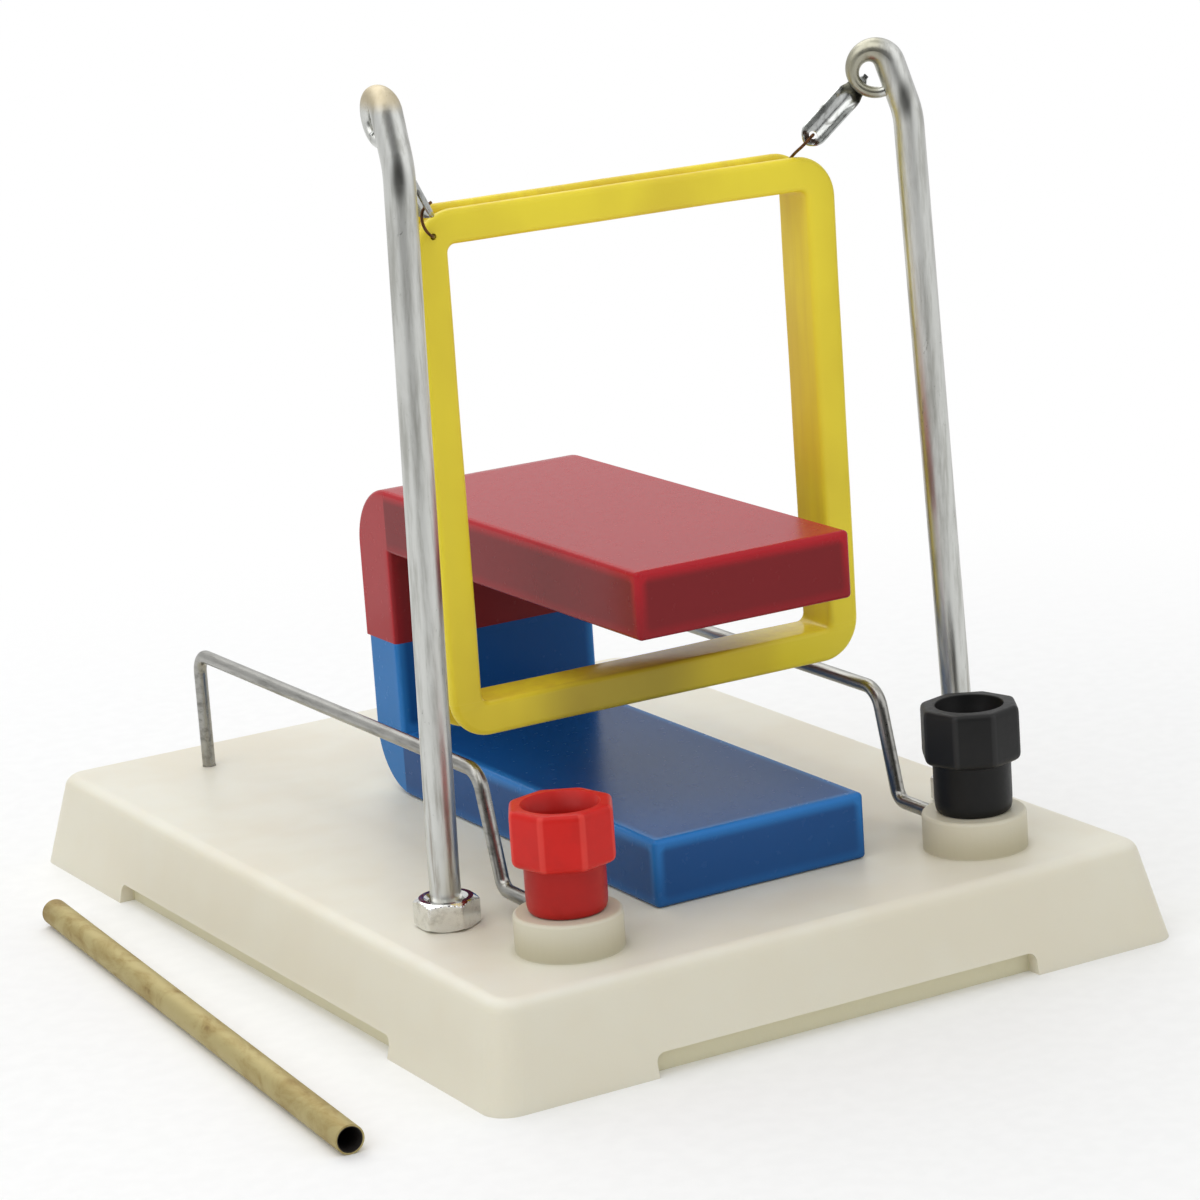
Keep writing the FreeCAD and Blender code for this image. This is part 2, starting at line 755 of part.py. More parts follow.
def make_cap(colour):
    across, along = terminal_places[colour]
    body = new_body(f"{colour}_terminal_cap")
    neck = new_sketch(body, "neck", "XY_Plane")
    circle(neck, "cap_neck_wide")
    pad(body, neck, "cap_neck_high")
    head = new_sketch(body, "head", "XY_Plane", "cap_neck_high")
    regular_polygon(head, 8, "cap_head_across")
    pad(body, head, "cap_head_high")
    neck_high = size("cap_neck_high")
    full = neck_high + size("cap_head_high")
    half_neck = size("cap_neck_wide") / 2 + 0.1
    dress(body, "Chamfer", "edges", "cap_edge",
          lambda edge: at_height(edge, 0)
          or (at_height(edge, neck_high) and math.hypot(middle(edge).x, middle(edge).y) > half_neck))
    mouth = new_sketch(body, "mouth", "XY_Plane", "cap_neck_high + cap_head_high")
    circle(mouth, "cap_mouth_wide")
    pocket(body, mouth, "cap_mouth_deep")
    dress(body, "Fillet", "rim", "cap_edge / 2", lambda edge: at_height(edge, full))
    recess = new_sketch(body, "recess", "XY_Plane")
    circle(recess, "stud_collar_wide + 8 * cap_gap")
    pocket(body, recess, "cap_recess_deep", reverse=True)
    bore = new_sketch(body, "bore", "XY_Plane")
    circle(bore, "stud_wide + 2 * cap_gap")
    pocket(body, bore, reverse=True)
    place(body, across, along, "base_high + boss_high")
    turn_level(body, f"{colour}_cap_turn")


# Rails

def make_rail(side, sign):
    across = sign * size("rail_x")
    off_centre = size("terminal_x") - size("rail_x")
    reach = math.sqrt((size("stud_wide") / 2) ** 2 - off_centre ** 2) + size("rail_stud_gap")
    foot_z = above_base("rail_foot_rise")
    rear_z = above_base(f"{side}_rail_rear_rise")
    points = [
        Vector(across, size("terminal_y") + reach + size("rail_wide") / 4, foot_z),
        Vector(across, size(f"{side}_rail_foot_y"), foot_z),
        Vector(across, size(f"{side}_rail_front_y"), above_base("rail_rise")),
        Vector(across, size("rail_rear_y"), rear_z),
        Vector(across, size("rail_rear_y"), size("rail_bottom")),
    ]
    radii = [size("rail_foot_radius"), size("rail_front_radius"), size("rail_rear_radius")]
    free_form(f"{side}_rail", bent_rod(points, radii, size("rail_wide")))


# Wound frame

def frame_rectangle(sketch, inset):
    half = f"(coil_wide / 2 - ({inset}))"
    rectangle(sketch, f"-{half}", half, f"{inset}", f"coil_high - ({inset})")


def upright_corner(edge, inset):
    """A straight edge across the frame's depth, on a corner of the rectangle at this inset."""
    point = middle(edge)
    half = size("coil_wide") / 2 - inset
    low = inset
    high = size("coil_high") - inset
    on_side = abs(abs(point.x) - half) < 0.01
    on_end = min(abs(point.z - low), abs(point.z - high)) < 0.01
    return runs_along(edge, "y") and on_side and on_end


def make_former():
    body = new_body("coil_former")
    outer = new_sketch(body, "flanges", "XZ_Plane")
    frame_rectangle(outer, "0")
    pad(body, outer, "coil_deep", midplane=True)
    dress(body, "Fillet", "corners", "coil_corner_round", lambda edge: upright_corner(edge, 0))
    window = new_sketch(body, "window", "XZ_Plane")
    frame_rectangle(window, "coil_face")
    pocket(body, window, midplane=True)
    face = size("coil_face")
    dress(body, "Fillet", "window_corners", "coil_window_round",
          lambda edge: upright_corner(edge, face))

    # a groove round the outside takes the winding
    groove_wide = "coil_deep - 2 * coil_flange"
    groove = new_sketch(body, "groove", "XZ_Plane")
    frame_rectangle(groove, "-1")
    frame_core(groove, "coil_groove")
    pocket(body, groove, groove_wide, midplane=True)
    half_deep = size("coil_deep") / 2
    inner = size("coil_deep") / 2 - size("coil_flange")
    high = size("coil_high")
    half = size("coil_wide") / 2

    def on_rim(edge):
        depth = abs(middle(edge).y)
        flat = edge.BoundBox.YLength < 1e-4
        box = edge.BoundBox
        on_side = max(abs(box.XMin), abs(box.XMax)) > half - 0.01
        outside = on_side or box.ZMin < 0.01 or box.ZMax > high - 0.01
        return flat and outside and (abs(depth - half_deep) < 0.01 or abs(depth - inner) < 0.01)

    dress(body, "Fillet", "flange_rims", "coil_flange_round", on_rim)
    hole = new_sketch(body, "lead_hole", "XZ_Plane")
    circle(hole, "lead_hole_wide",
           "-coil_wide / 2 + lead_hole_inset_x", "coil_high - lead_hole_inset_z")
    pocket(body, hole, "coil_deep", reverse=True)
    place(body, "coil_x", "coil_y", coil_bottom)


def frame_core(sketch, inset):
    """A rounded rectangle at the groove's floor, concentric with the frame's outer corners."""
    half = f"(coil_wide / 2 - ({inset}))"
    low = f"({inset})"
    high = f"(coil_high - ({inset}))"
    turn = f"(coil_corner_round - ({inset}))"
    rounded_rectangle(sketch, f"-{half}", half, low, high, turn)


def rounded_rectangle(sketch, left, right, low, high, radius):
    """Four lines and four quarter arcs; every end lies on values from the sheet."""
    x0, x1, z0, z1, turn = (value_of(item) for item in (left, right, low, high, radius))
    centres = [(x0 + turn, z0 + turn), (x1 - turn, z0 + turn),
               (x1 - turn, z1 - turn), (x0 + turn, z1 - turn)]
    first = sketch.GeometryCount
    normal = Vector(0, 0, 1)
    for index, (across, along) in enumerate(centres):
        ring = Part.Circle(Vector(across, along, 0), normal, turn)
        start = math.pi + index * math.pi / 2
        sketch.addGeometry(Part.ArcOfCircle(ring, start, start + math.pi / 2))
    arcs = [sketch.Geometry[first + index] for index in range(4)]
    for index in range(4):
        following = arcs[(index + 1) % 4]
        sketch.addGeometry(Part.LineSegment(arcs[index].EndPoint, following.StartPoint))
    for index in range(4):
        line = first + 4 + index
        sketch.addConstraint(Sketcher.Constraint("Tangent", first + index, 2, line, 1))
        sketch.addConstraint(Sketcher.Constraint("Tangent", line, 2, first + (index + 1) % 4, 1))
    for index in range(1, 4):
        sketch.addConstraint(Sketcher.Constraint("Equal", first, first + index))
    for line, kind in ((4, "Horizontal"), (5, "Vertical"), (6, "Horizontal"), (7, "Vertical")):
        sketch.addConstraint(Sketcher.Constraint(kind, first + line))
    tie(sketch, "Radius", (first,), radius)
    tie(sketch, "DistanceX", (-1, 1, first, 3), f"({left}) + ({radius})")
    tie(sketch, "DistanceY", (-1, 1, first, 3), f"({low}) + ({radius})")
    tie(sketch, "DistanceX", (-1, 1, first + 2, 3), f"({right}) - ({radius})")
    tie(sketch, "DistanceY", (-1, 1, first + 2, 3), f"({high}) - ({radius})")


def make_band(label, inner, outer, wide):
    """A closed band in the frame's groove, between two insets from the frame's outside."""
    body = new_body(label)
    ring = new_sketch(body, "ring", "XZ_Plane")
    frame_core(ring, outer)
    frame_core(ring, inner)
    pad(body, ring, wide, midplane=True)
    place(body, "coil_x", "coil_y", coil_bottom)


def make_winding():
    wide = "coil_deep - 2 * coil_flange - 2 * winding_gap"
    floor = "coil_groove - winding_gap"
    top = f"{floor} - winding_thick"
    tape_top = f"{top} - winding_gap - tape_thick"
    make_band("coil_winding", floor, top, wide)
    make_band("winding_tape", f"{top} - winding_gap", tape_top, wide)


# Links and the leads of the winding

def curl_middle():
    return value_of(link_curl_radius) + size("link_thick") / 2


def hook_frame(side):
    """Centre of the eye's wire in the curl, and the link's axes: along, across and face."""
    centre, _ = eye_point(side, size(f"{side}_hook_angle"))
    end = place_of(f"{side}_link_end")
    hang = (end - centre).normalize()
    turn = math.radians(size(f"{side}_link_turn"))
    level = Vector(math.cos(turn), math.sin(turn), 0)
    width = (level - hang * level.dot(hang)).normalize()
    normal = hang.cross(width).normalize()
    # the strip runs tangent to the curl, so it is turned to bring its hole onto the hanging line
    tilt = math.atan2(curl_middle(), size("link_hole_at"))
    along = hang * math.cos(tilt) - normal * math.sin(tilt)
    face = along.cross(width).normalize()
    return centre, along, width, face


def link_point(side, along_by, face_by):
    centre, along, _, face = hook_frame(side)
    return centre + along * along_by + face * face_by


def sector(at, inner, outer, first, last):
    """The face between two arcs; at gives the point for a radius and an angle."""
    between = (first + last) / 2
    edges = [
        Part.Arc(at(outer, first), at(outer, between), at(outer, last)),
        Part.LineSegment(at(outer, last), at(inner, last)),
        Part.Arc(at(inner, last), at(inner, between), at(inner, first)),
        Part.LineSegment(at(inner, first), at(outer, first)),
    ]
    return Part.Face(Part.Wire([edge.toShape() for edge in edges]))


def make_trough():
    """The bowed strip along X, its hollow side down, cut to its outline from above."""
    curl = curl_middle()
    half_thick = size("link_thick") / 2
    bow = size("link_bow_radius")
    start = size("link_shoulder")
    end = size("link_long")
    cut = size("link_shoulder_cut")
    spread = math.asin(size("link_wide") / 2 / bow)
    half = (bow + half_thick) * math.sin(spread)
    low = curl - 2 * bow
    high = 3 * bow

    def on_bow(radius, angle):
        return Vector(start, radius * math.sin(angle), curl - bow + radius * math.cos(angle))

    section = sector(on_bow, bow - half_thick, bow + half_thick, -spread, spread)
    strip = section.extrude(Vector(end - start, 0, 0))
    corners = [Vector(start, -half + cut, low), Vector(start + cut, -half, low),
               Vector(end - half, -half, low), Vector(end - half, half, low),
               Vector(start + cut, half, low), Vector(start, half - cut, low)]
    plan = Part.Face(Part.makePolygon(corners + corners[:1])).extrude(Vector(0, 0, high))
    plan = plan.fuse(Part.makeCylinder(half, high, Vector(end - half, 0, low)))
    hole = Part.makeCylinder(size("link_hole_wide") / 2, high, Vector(size("link_hole_at"), 0, low))
    return strip.common(plan).cut(hole)


def make_tongue():
    """A narrow flat run from under the strip, then round the origin on the hollow side."""
    wide = size("link_tongue_wide")
    inner = value_of(link_curl_radius)
    outer = inner + size("link_thick")
    reach = size("link_shoulder") + size("link_tongue_overlap")

    def on_curl(radius, angle):
        return Vector(-radius * math.sin(angle), -wide / 2, radius * math.cos(angle))

    turn = math.radians(size("link_curl_turn"))
    curl = sector(on_curl, inner, outer, 0, turn).extrude(Vector(0, wide, 0))
    return curl.fuse(Part.makeBox(reach, wide, outer - inner, Vector(0, -wide / 2, inner)))


def make_link(side):
    link = free_form(f"{side}_link", make_trough().fuse(make_tongue()).removeSplitter())
    centre, along, width, face = hook_frame(side)
    matrix = FreeCAD.Matrix(along.x, width.x, face.x, centre.x,
                            along.y, width.y, face.y, centre.y,
                            along.z, width.z, face.z, centre.z,
                            0, 0, 0, 1)
    link.Placement = Placement(matrix)
    return link


def frame_point(across, depth, height):
    """A point in the frame's own place: from its middle, its middle plane and its bottom."""
    return Vector(size("coil_x") + across, size("coil_y") + depth, value_of(coil_bottom) + height)


def make_coil_lead(side):
    """A short bare wire from the hole in the link to the winding."""
    stub = size("lead_stub")
    hole = size("link_hole_at")
    half = size("coil_wide") / 2
    high = size("coil_high")
    via = place_of(f"{side}_lead_via")
    tip_gap = size("lead_tip_gap")
    start = [link_point(side, hole, curl_middle() + size("lead_tail")),
             link_point(side, hole, curl_middle() - stub),
             link_point(side, size("link_long") + tip_gap, curl_middle() - tip_gap),
             via]
    if side == "left":
        across = -half + size("lead_hole_inset_x")
        level = high - size("lead_hole_inset_z")
        front = -size("coil_deep") / 2
        flange = size("coil_flange") - size("winding_gap")
        ends = [frame_point(across, front - stub, level),
                frame_point(across, front + flange, level)]
    else:
        outside = "coil_high - coil_groove + 2 * winding_gap + winding_thick + tape_thick"
        level = value_of(f"{outside} + lead_wide")
        ends = [frame_point(half - size("right_lead_end_inset"), 0, level)]
    points = start + ends
    radii = tangent_radii(points)
    print(f"{side} coil lead bends at", [round(radius, 2) for radius in radii])
    free_form(f"{side}_coil_lead", bent_rod(points, radii, size("lead_wide")))


# U magnet

magnet_back_y = "(magnet_front + magnet_long)"


def make_cover(label, upper):
    """One half of the plastic shell, an L with its long side along the leg, open at the split.
    The upper half reaches further back, so the split shows there as a step."""
    body = new_body(label)
    lip = "0" if upper else "magnet_lip"
    far = f"({magnet_back_y} - {lip})"
    near = f"({magnet_back_y} - magnet_back)"
    level = ["magnet_high", "magnet_high - magnet_leg"] if upper else ["0", "magnet_leg"]
    outline = new_sketch(body, "outline", "YZ_Plane")
    polygon(outline, [("magnet_front", level[0]), (far, level[0]), (far, "magnet_split"),
                      (near, "magnet_split"), (near, level[1]), ("magnet_front", level[1])])
    pad(body, outline, "magnet_wide", midplane=True)
    back = value_of(far)
    outside = value_of(level[0])
    split = size("magnet_split")
    dress(body, "Fillet", "back_corner", "magnet_back_round",
          lambda edge: cross_line(edge, back, outside))
    inner_back = value_of(near)
    inner_face = value_of(level[1])
    dress(body, "Fillet", "edges", "magnet_edge_round",
          lambda edge: not at_height(edge, split)
          and not cross_line(edge, inner_back, inner_face))
    wall = "magnet_cover_wall"
    shift = wall if upper else f"-{wall}"
    past = "magnet_split - 5" if upper else "magnet_split + 5"
    hollow = new_sketch(body, "hollow", "YZ_Plane")
    outer_level = f"{level[0]} - ({shift})"
    inner_level = f"{level[1]} + ({shift})"
    # the hollow's back corner is cut off, to stay inside the rounded one
    cut = f"(magnet_back_round - {wall}) * magnet_hollow_cut"
    cut_level = f"{outer_level} - {cut}" if upper else f"{outer_level} + {cut}"
    polygon(hollow, [(f"magnet_front + {wall}", outer_level),
                     (f"{far} - {wall} - {cut}", outer_level),
                     (f"{far} - {wall}", cut_level),
                     (f"{far} - {wall}", past),
                     (f"{near} + {wall}", past),
                     (f"{near} + {wall}", inner_level),
                     (f"magnet_front + {wall}", inner_level)])
    pocket(body, hollow, f"magnet_wide - 2 * {wall}", midplane=True)
    place(body, "magnet_x", "0", "base_high + magnet_floor_gap")


def cross_line(edge, along, level):
    """A straight edge across the magnet at this distance along it and this height."""
    point = middle(edge)
    return runs_along(edge, "x") and abs(point.y - along) < 0.01 and abs(point.z - level) < 0.01


def make_yoke():
    """A steel strip bent to a U inside both covers, against their outer walls."""
    body = new_body("magnet_yoke")
    wall = "(magnet_cover_wall + core_gap)"
    front = f"(magnet_front + {wall})"
    back = f"({magnet_back_y} - magnet_lip - {wall})"
    low = wall
    high = f"(magnet_high - {wall})"
    outline = new_sketch(body, "outline", "YZ_Plane")
    polygon(outline, [(front, low), (back, low), (back, high), (front, high),
                      (front, f"{high} - yoke_thick"),
                      (f"{back} - yoke_thick", f"{high} - yoke_thick"),
                      (f"{back} - yoke_thick", f"{low} + yoke_thick"),
                      (front, f"{low} + yoke_thick")])
    pad(body, outline, f"magnet_wide - 2 * {wall}", midplane=True)
    # both sides of each bend are rounded about one centre
    for name, inset in (("inner_bends", "yoke_thick"), ("outer_bends", "0")):
        far = value_of(f"{back} - {inset}")
        dress(body, "Fillet", name, f"magnet_back_round - magnet_cover_wall - {inset}",
              lambda edge: runs_along(edge, "x") and abs(middle(edge).y - far) < 0.01)
    place(body, "magnet_x", "0", "base_high + magnet_floor_gap")


def make_pole_block(label, upper):
    """A flat ferrite block between the yoke and the face of the pole."""
    body = new_body(label)
    wall = "(magnet_cover_wall + core_gap)"
    front = f"(magnet_front + {wall})"
    low = f"magnet_high - magnet_leg + {wall}" if upper else f"{wall} + yoke_thick"
    high = f"magnet_high - {wall} - yoke_thick" if upper else f"magnet_leg - {wall}"
    outline = new_sketch(body, "outline", "YZ_Plane")
    rectangle(outline, front, f"{front} + pole_block_long", low, high)
    pad(body, outline, f"magnet_wide - 2 * {wall}", midplane=True)
    place(body, "magnet_x", "0", "base_high + magnet_floor_gap")


# Loose tube

def make_tube():
    body = new_body("brass_tube")
    ring = new_sketch(body, "ring", "XZ_Plane")
    circle(ring, "tube_wide")
    circle(ring, "tube_wide - 2 * tube_wall")
    pad(body, ring, "tube_long", midplane=True)
    place(body, "-(base_wide / 2 + tube_from_base)", "tube_y", "tube_wide / 2")
    turn_level(body, "tube_turn")


make_base()
for side in ("left", "right"):
    make_post(side)
make_post_fasteners()
make_terminal_fasteners()
make_tags()
make_lead_wire("left", "red")
make_lead_wire("right", "black")
for colour in ("red", "black"):
    make_stud(colour)
    make_cap(colour)
make_rail("left", -1)
make_rail("right", 1)
make_former()
make_winding()
for side in ("left", "right"):
    make_link(side)
    make_coil_lead(side)
make_cover("magnet_red_cover", upper=True)
make_cover("magnet_blue_cover", upper=False)
make_yoke()
make_pole_block("red_pole_block", upper=True)
make_pole_block("blue_pole_block", upper=False)
make_tube()
doc.recompute()

for item in doc.Objects:
    if "Invalid" in item.State or "Error" in item.State:
        raise RuntimeError(f"{item.Label} failed")
for part in exported:
    if part.Shape.isNull() or not part.Shape.isValid():
        raise RuntimeError(f"{part.Label} has no valid shape")

os.makedirs("parts", exist_ok=True)
for part in exported:
    part.Shape.exportStep(f"parts/{part.Label}.step")
    print(part.Label, len(part.Shape.Solids), round(part.Shape.Volume, 1))
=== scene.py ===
import bpy
import bmesh
import json
import math
from mathutils import Matrix, Vector, noise

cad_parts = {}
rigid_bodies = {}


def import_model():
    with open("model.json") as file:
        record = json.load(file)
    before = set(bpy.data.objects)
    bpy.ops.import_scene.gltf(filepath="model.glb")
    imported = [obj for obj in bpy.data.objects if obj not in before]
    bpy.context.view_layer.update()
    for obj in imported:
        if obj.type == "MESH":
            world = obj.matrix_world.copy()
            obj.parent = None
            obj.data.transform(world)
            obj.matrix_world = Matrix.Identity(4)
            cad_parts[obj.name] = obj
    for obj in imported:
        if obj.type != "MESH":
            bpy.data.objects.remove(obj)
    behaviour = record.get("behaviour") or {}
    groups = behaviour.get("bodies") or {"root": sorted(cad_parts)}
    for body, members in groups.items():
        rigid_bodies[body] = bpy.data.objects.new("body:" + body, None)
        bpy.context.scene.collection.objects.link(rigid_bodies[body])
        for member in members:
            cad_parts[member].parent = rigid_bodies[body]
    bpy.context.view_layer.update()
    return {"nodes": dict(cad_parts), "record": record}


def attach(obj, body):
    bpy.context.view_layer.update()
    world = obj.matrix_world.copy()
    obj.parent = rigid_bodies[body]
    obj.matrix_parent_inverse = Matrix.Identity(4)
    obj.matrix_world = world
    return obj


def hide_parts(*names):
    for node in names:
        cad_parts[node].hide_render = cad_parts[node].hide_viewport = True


for thing in list(bpy.data.objects):
    bpy.data.objects.remove(thing)
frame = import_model()
nodes = frame["nodes"]
mm = 0.001
print("frame loaded:", len(nodes), "pieces")


def paint(red, green, blue):
    # screen values from 0 to 255 to the linear colour that a shader takes
    shares = [value / 255 for value in (red, green, blue)]
    linear = [share / 12.92 if share <= 0.04 else ((share + 0.055) / 1.055) ** 2.4 for share in shares]
    return (*linear, 1.0)


# shader maths

class Value:
    def __init__(self, shading, socket):
        self.shading = shading
        self.socket = socket

    def __add__(self, other):
        return self.shading.maths("ADD", self, other)

    def __radd__(self, other):
        return self.shading.maths("ADD", other, self)

    def __sub__(self, other):
        return self.shading.maths("SUBTRACT", self, other)

    def __rsub__(self, other):
        return self.shading.maths("SUBTRACT", other, self)

    def __mul__(self, other):
        return self.shading.maths("MULTIPLY", self, other)

    def __rmul__(self, other):
        return self.shading.maths("MULTIPLY", other, self)

    def __truediv__(self, other):
        return self.shading.maths("DIVIDE", self, other)

    def __pow__(self, other):
        return self.shading.maths("POWER", self, other)

    def __abs__(self):
        return self.shading.maths("ABSOLUTE", self)


class Shading:
    def __init__(self, tree):
        self.tree = tree

    def node(self, kind, settings=None, inputs=None, out=0):
        made = self.tree.nodes.new("ShaderNode" + kind)
        for key, value in (settings or {}).items():
            setattr(made, key, value)
        for key, value in (inputs or {}).items():
            self.feed(made.inputs[key], value)
        return Value(self, made.outputs[out])

    def feed(self, socket, value):
        if isinstance(value, Value):
            self.tree.links.new(value.socket, socket)
        else:
            socket.default_value = value

    def maths(self, operation, first, second=0.0):
        return self.node("Math", {"operation": operation}, {0: first, 1: second})

    def clamp(self, value):
        return self.node("Clamp", {}, {0: value})

    def blend(self, share, first, second):
        return self.node("Mix", {"data_type": "RGBA"}, {0: share, 6: first, 7: second}, out=2)

    def fade(self, value, start, end):
        # 0 at start and 1 at end, smooth between them
        return self.node("MapRange", {"interpolation_type": "SMOOTHSTEP"},
                         {0: value, 1: start, 2: end, 3: 0.0, 4: 1.0})

    def spread(self, value, low, high):
        # a noise value stretched to the range from low to high
        return self.node("MapRange", {}, {0: value, 1: 0.3, 2: 0.7, 3: low, 4: high})

    def axis(self, vector, index):
        return self.node("SeparateXYZ", {}, {0: vector}, out=index)

    def backdropShare(self, gloss):
        # 1 where the camera or glass sees the surface, gloss where a shiny surface mirrors it
        camera, glass, mirror = (self.node("LightPath", out=f"Is {ray} Ray")
                                 for ray in ("Camera", "Transmission", "Glossy"))
        return self.clamp(camera + glass + mirror * gloss)


class Finish(Shading):
    def __init__(self, name, constants):
        self.material = bpy.data.materials.new(name)
        self.material.use_nodes = True
        super().__init__(self.material.node_tree)
        self.shader = self.tree.nodes["Principled BSDF"]
        for socket, value in constants.items():
            self.shader.inputs[socket].default_value = value
        self.place = self.node("TexCoord", out="Object")

    def axes(self):
        # the point in millimetres, one value per axis
        big = self.node("VectorMath", {"operation": "SCALE"}, {0: self.place, 3: 1 / mm})
        return [self.axis(big, index) for index in range(3)]

    def grain(self, size, detail=3.0, rough=0.5, stretch=(1, 1, 1), shift=0.0, twist=0.0):
        # noise with features of about this size in millimetres, longer along axes with a small stretch
        scaled = self.node("VectorMath", {"operation": "MULTIPLY_ADD"},
                           {0: self.place, 1: tuple(v / size / mm for v in stretch), 2: (shift,) * 3})
        return self.node("TexNoise", {}, {"Vector": scaled, "Scale": 1.0, "Detail": detail,
                                          "Roughness": rough, "Distortion": twist})

    def bump(self, height, depth, under=None):
        inputs = {"Height": height, "Distance": depth * mm, "Strength": 1.0}
        if under:
            inputs["Normal"] = under
        return self.node("Bump", {}, inputs)

    def wear(self, colour, roughness=None, metallic=None, normal=None):
        sockets = {"Base Color": colour, "Roughness": roughness, "Metallic": metallic, "Normal": normal}
        for name, value in sockets.items():
            if value is not None:
                self.feed(self.shader.inputs[name], value)
        return self


def near(finish, distance, reach):
    # 1 close to a face, 0 beyond the reach
    return finish.fade(abs(distance), reach, reach * 0.25)


def away(first, second):
    # distance from a line, given the two distances across it
    return (first ** 2.0 + second ** 2.0) ** 0.5


# finishes; pairs of numbers are where a fade starts and ends, in millimetres

ivory = {
    "light": paint(233, 230, 215),
    "dull": paint(229, 223, 205),
    # painted shade for the walls below the top
    "wall": paint(220, 213, 190),
    # painted shade low on the bosses
    "bossShade": paint(184, 176, 146),
    "notchShade": paint(226, 220, 190),
    "cloud": 26.0,
    "pit": 0.5,
    "rough": (0.34, 0.46),
    "wallTop": (13.9, 13.0),
    "bossSpot": (33.0, -57.6),
    "bossSide": (8.6, 7.0),
    "bossFoot": (13.9, 14.5),
    "bossShadeLow": (19.3, 15.0),
    # the inner skirt that shows through the notches, painted in shade
    "skirtSide": (52.9, 52.6),
    "skirtEnd": (72.9, 72.6),
    "skirtTop": (5.0, 4.6),
}


def ivoryPlastic():
    finish = Finish("ivoryPlastic", {"Specular IOR Level": 0.25, "Subsurface Weight": 0.1,
                                     "Subsurface Radius": (1.0, 0.8, 0.5), "Subsurface Scale": 0.003})
    x, y, z = finish.axes()
    cloud = finish.grain(ivory["cloud"], 3, 0.55)
    small = finish.grain(5.0, 4, 0.6, shift=3.1)
    colour = finish.blend(finish.fade(cloud, 0.38, 0.66), ivory["light"], ivory["dull"])
    colour = finish.blend(finish.fade(small, 0.5, 0.8) * 0.25, colour, ivory["dull"])
    # painted shade: the walls below the top are painted darker and yellower than the top
    colour = finish.blend(finish.fade(z, *ivory["wallTop"]) * 0.5, colour, ivory["wall"])
    # painted shade: the bosses are painted darker low down
    across, along = ivory["bossSpot"]
    fromBoss = away(abs(x) - across, y - along)
    bossShadeMask = finish.fade(fromBoss, *ivory["bossSide"]) * finish.fade(z, *ivory["bossFoot"])
    colour = finish.blend(bossShadeMask * (0.5 + 0.4 * finish.fade(z, *ivory["bossShadeLow"])), colour, ivory["bossShade"])
    # painted shade on the inner skirt below the notches
    skirtShade = finish.fade(abs(x), *ivory["skirtSide"]) * finish.fade(abs(y), *ivory["skirtEnd"])
    colour = finish.blend(skirtShade * finish.fade(z, *ivory["skirtTop"]), colour, ivory["notchShade"])
    pits = finish.grain(ivory["pit"], 2, 0.5, shift=9.0)
    waves = finish.grain(14.0, 2, 0.4, shift=5.0)
    normal = finish.bump(waves, 0.12, under=finish.bump(pits, 0.012))
    return finish.wear(colour, finish.spread(small, *ivory["rough"]), normal=normal)


shell = {
    "edge": 2.0,
    "rough": (0.22, 0.28),
    "gloss": 0.155,
    "dust": paint(225, 215, 210),
    # the rim, top and back colours are painted light, the middle colour painted dull
    "red": {"rim": paint(176, 32, 42), "middle": paint(124, 32, 36), "top": paint(170, 36, 46),
            "leg": paint(172, 58, 62), "low": 51.85, "high": 61.45},
    "blue": {"rim": paint(46, 122, 194), "middle": paint(30, 78, 136), "top": paint(22, 80, 144),
             "leg": paint(48, 122, 190), "low": 14.25, "high": 23.85},
    "side": 17.15,
    "centre": 1.05,
    "front": -52.2,
    "back": 31.2,
    "inner": 21.2,
    "bend": (8.8, 9.8),
}


def shellPlastic(name, part, upper):
    # thin coloured plastic: bright where the light gets into the rims, dull over the steel inside
    finish = Finish(name, {"Specular IOR Level": shell["gloss"]})
    x, y, z = finish.axes()
    reach = shell["edge"]
    look = shell[part]
    onLeg = finish.fade(y, shell["inner"] + 0.6, shell["inner"] + 0.2)
    outer, inner = (look["high"], look["low"]) if upper else (look["low"], look["high"])
    sides = near(finish, shell["side"] - abs(x - shell["centre"]), reach)
    front = near(finish, y - shell["front"], reach)
    back = near(finish, y - shell["back"], reach)
    outerFace = near(finish, z - outer, reach)
    innerFace = near(finish, z - inner, reach) * onLeg
    bend = near(finish, y - shell["inner"], reach) * finish.fade(abs(z - outer), *shell["bend"])
    rim = finish.clamp(sides + front + back + outerFace + innerFace + bend - 1.0)
    # the light comes in from above, so the upper rims glow most
    lit = onLeg * (0.3 + 0.7 * finish.fade(z, look["low"], look["high"])) + (1 - onLeg) * 0.75
    cloud = finish.grain(9.0, 3, 0.5)
    rim = finish.clamp(rim * lit + (cloud - 0.5) * 0.2)
    # painted light: the top face is painted lighter as a reflection of the pale room, and the back past the
    # legs is painted lighter to lift its shade
    litTop = finish.fade(z, look["high"] - 0.3, look["high"] - 0.05)
    colour = finish.blend(litTop, look["middle"], look["top"])
    colour = finish.blend((1 - onLeg) * 0.9, colour, look["leg"])
    colour = finish.blend(rim, colour, look["rim"])
    dust = finish.fade(finish.grain(0.7, 4, 0.7, shift=2.0), 0.69, 0.82)
    colour = finish.blend(dust * 0.03, colour, shell["dust"])
    scuff = finish.grain(1.4, 4, 0.5, shift=4.0)
    waves = finish.grain(14.0, 2, 0.4, shift=7.0)
    normal = finish.bump(waves, 0.02, under=finish.bump(scuff, 0.001))
    return finish.wear(colour, finish.spread(scuff, *shell["rough"]), normal=normal)


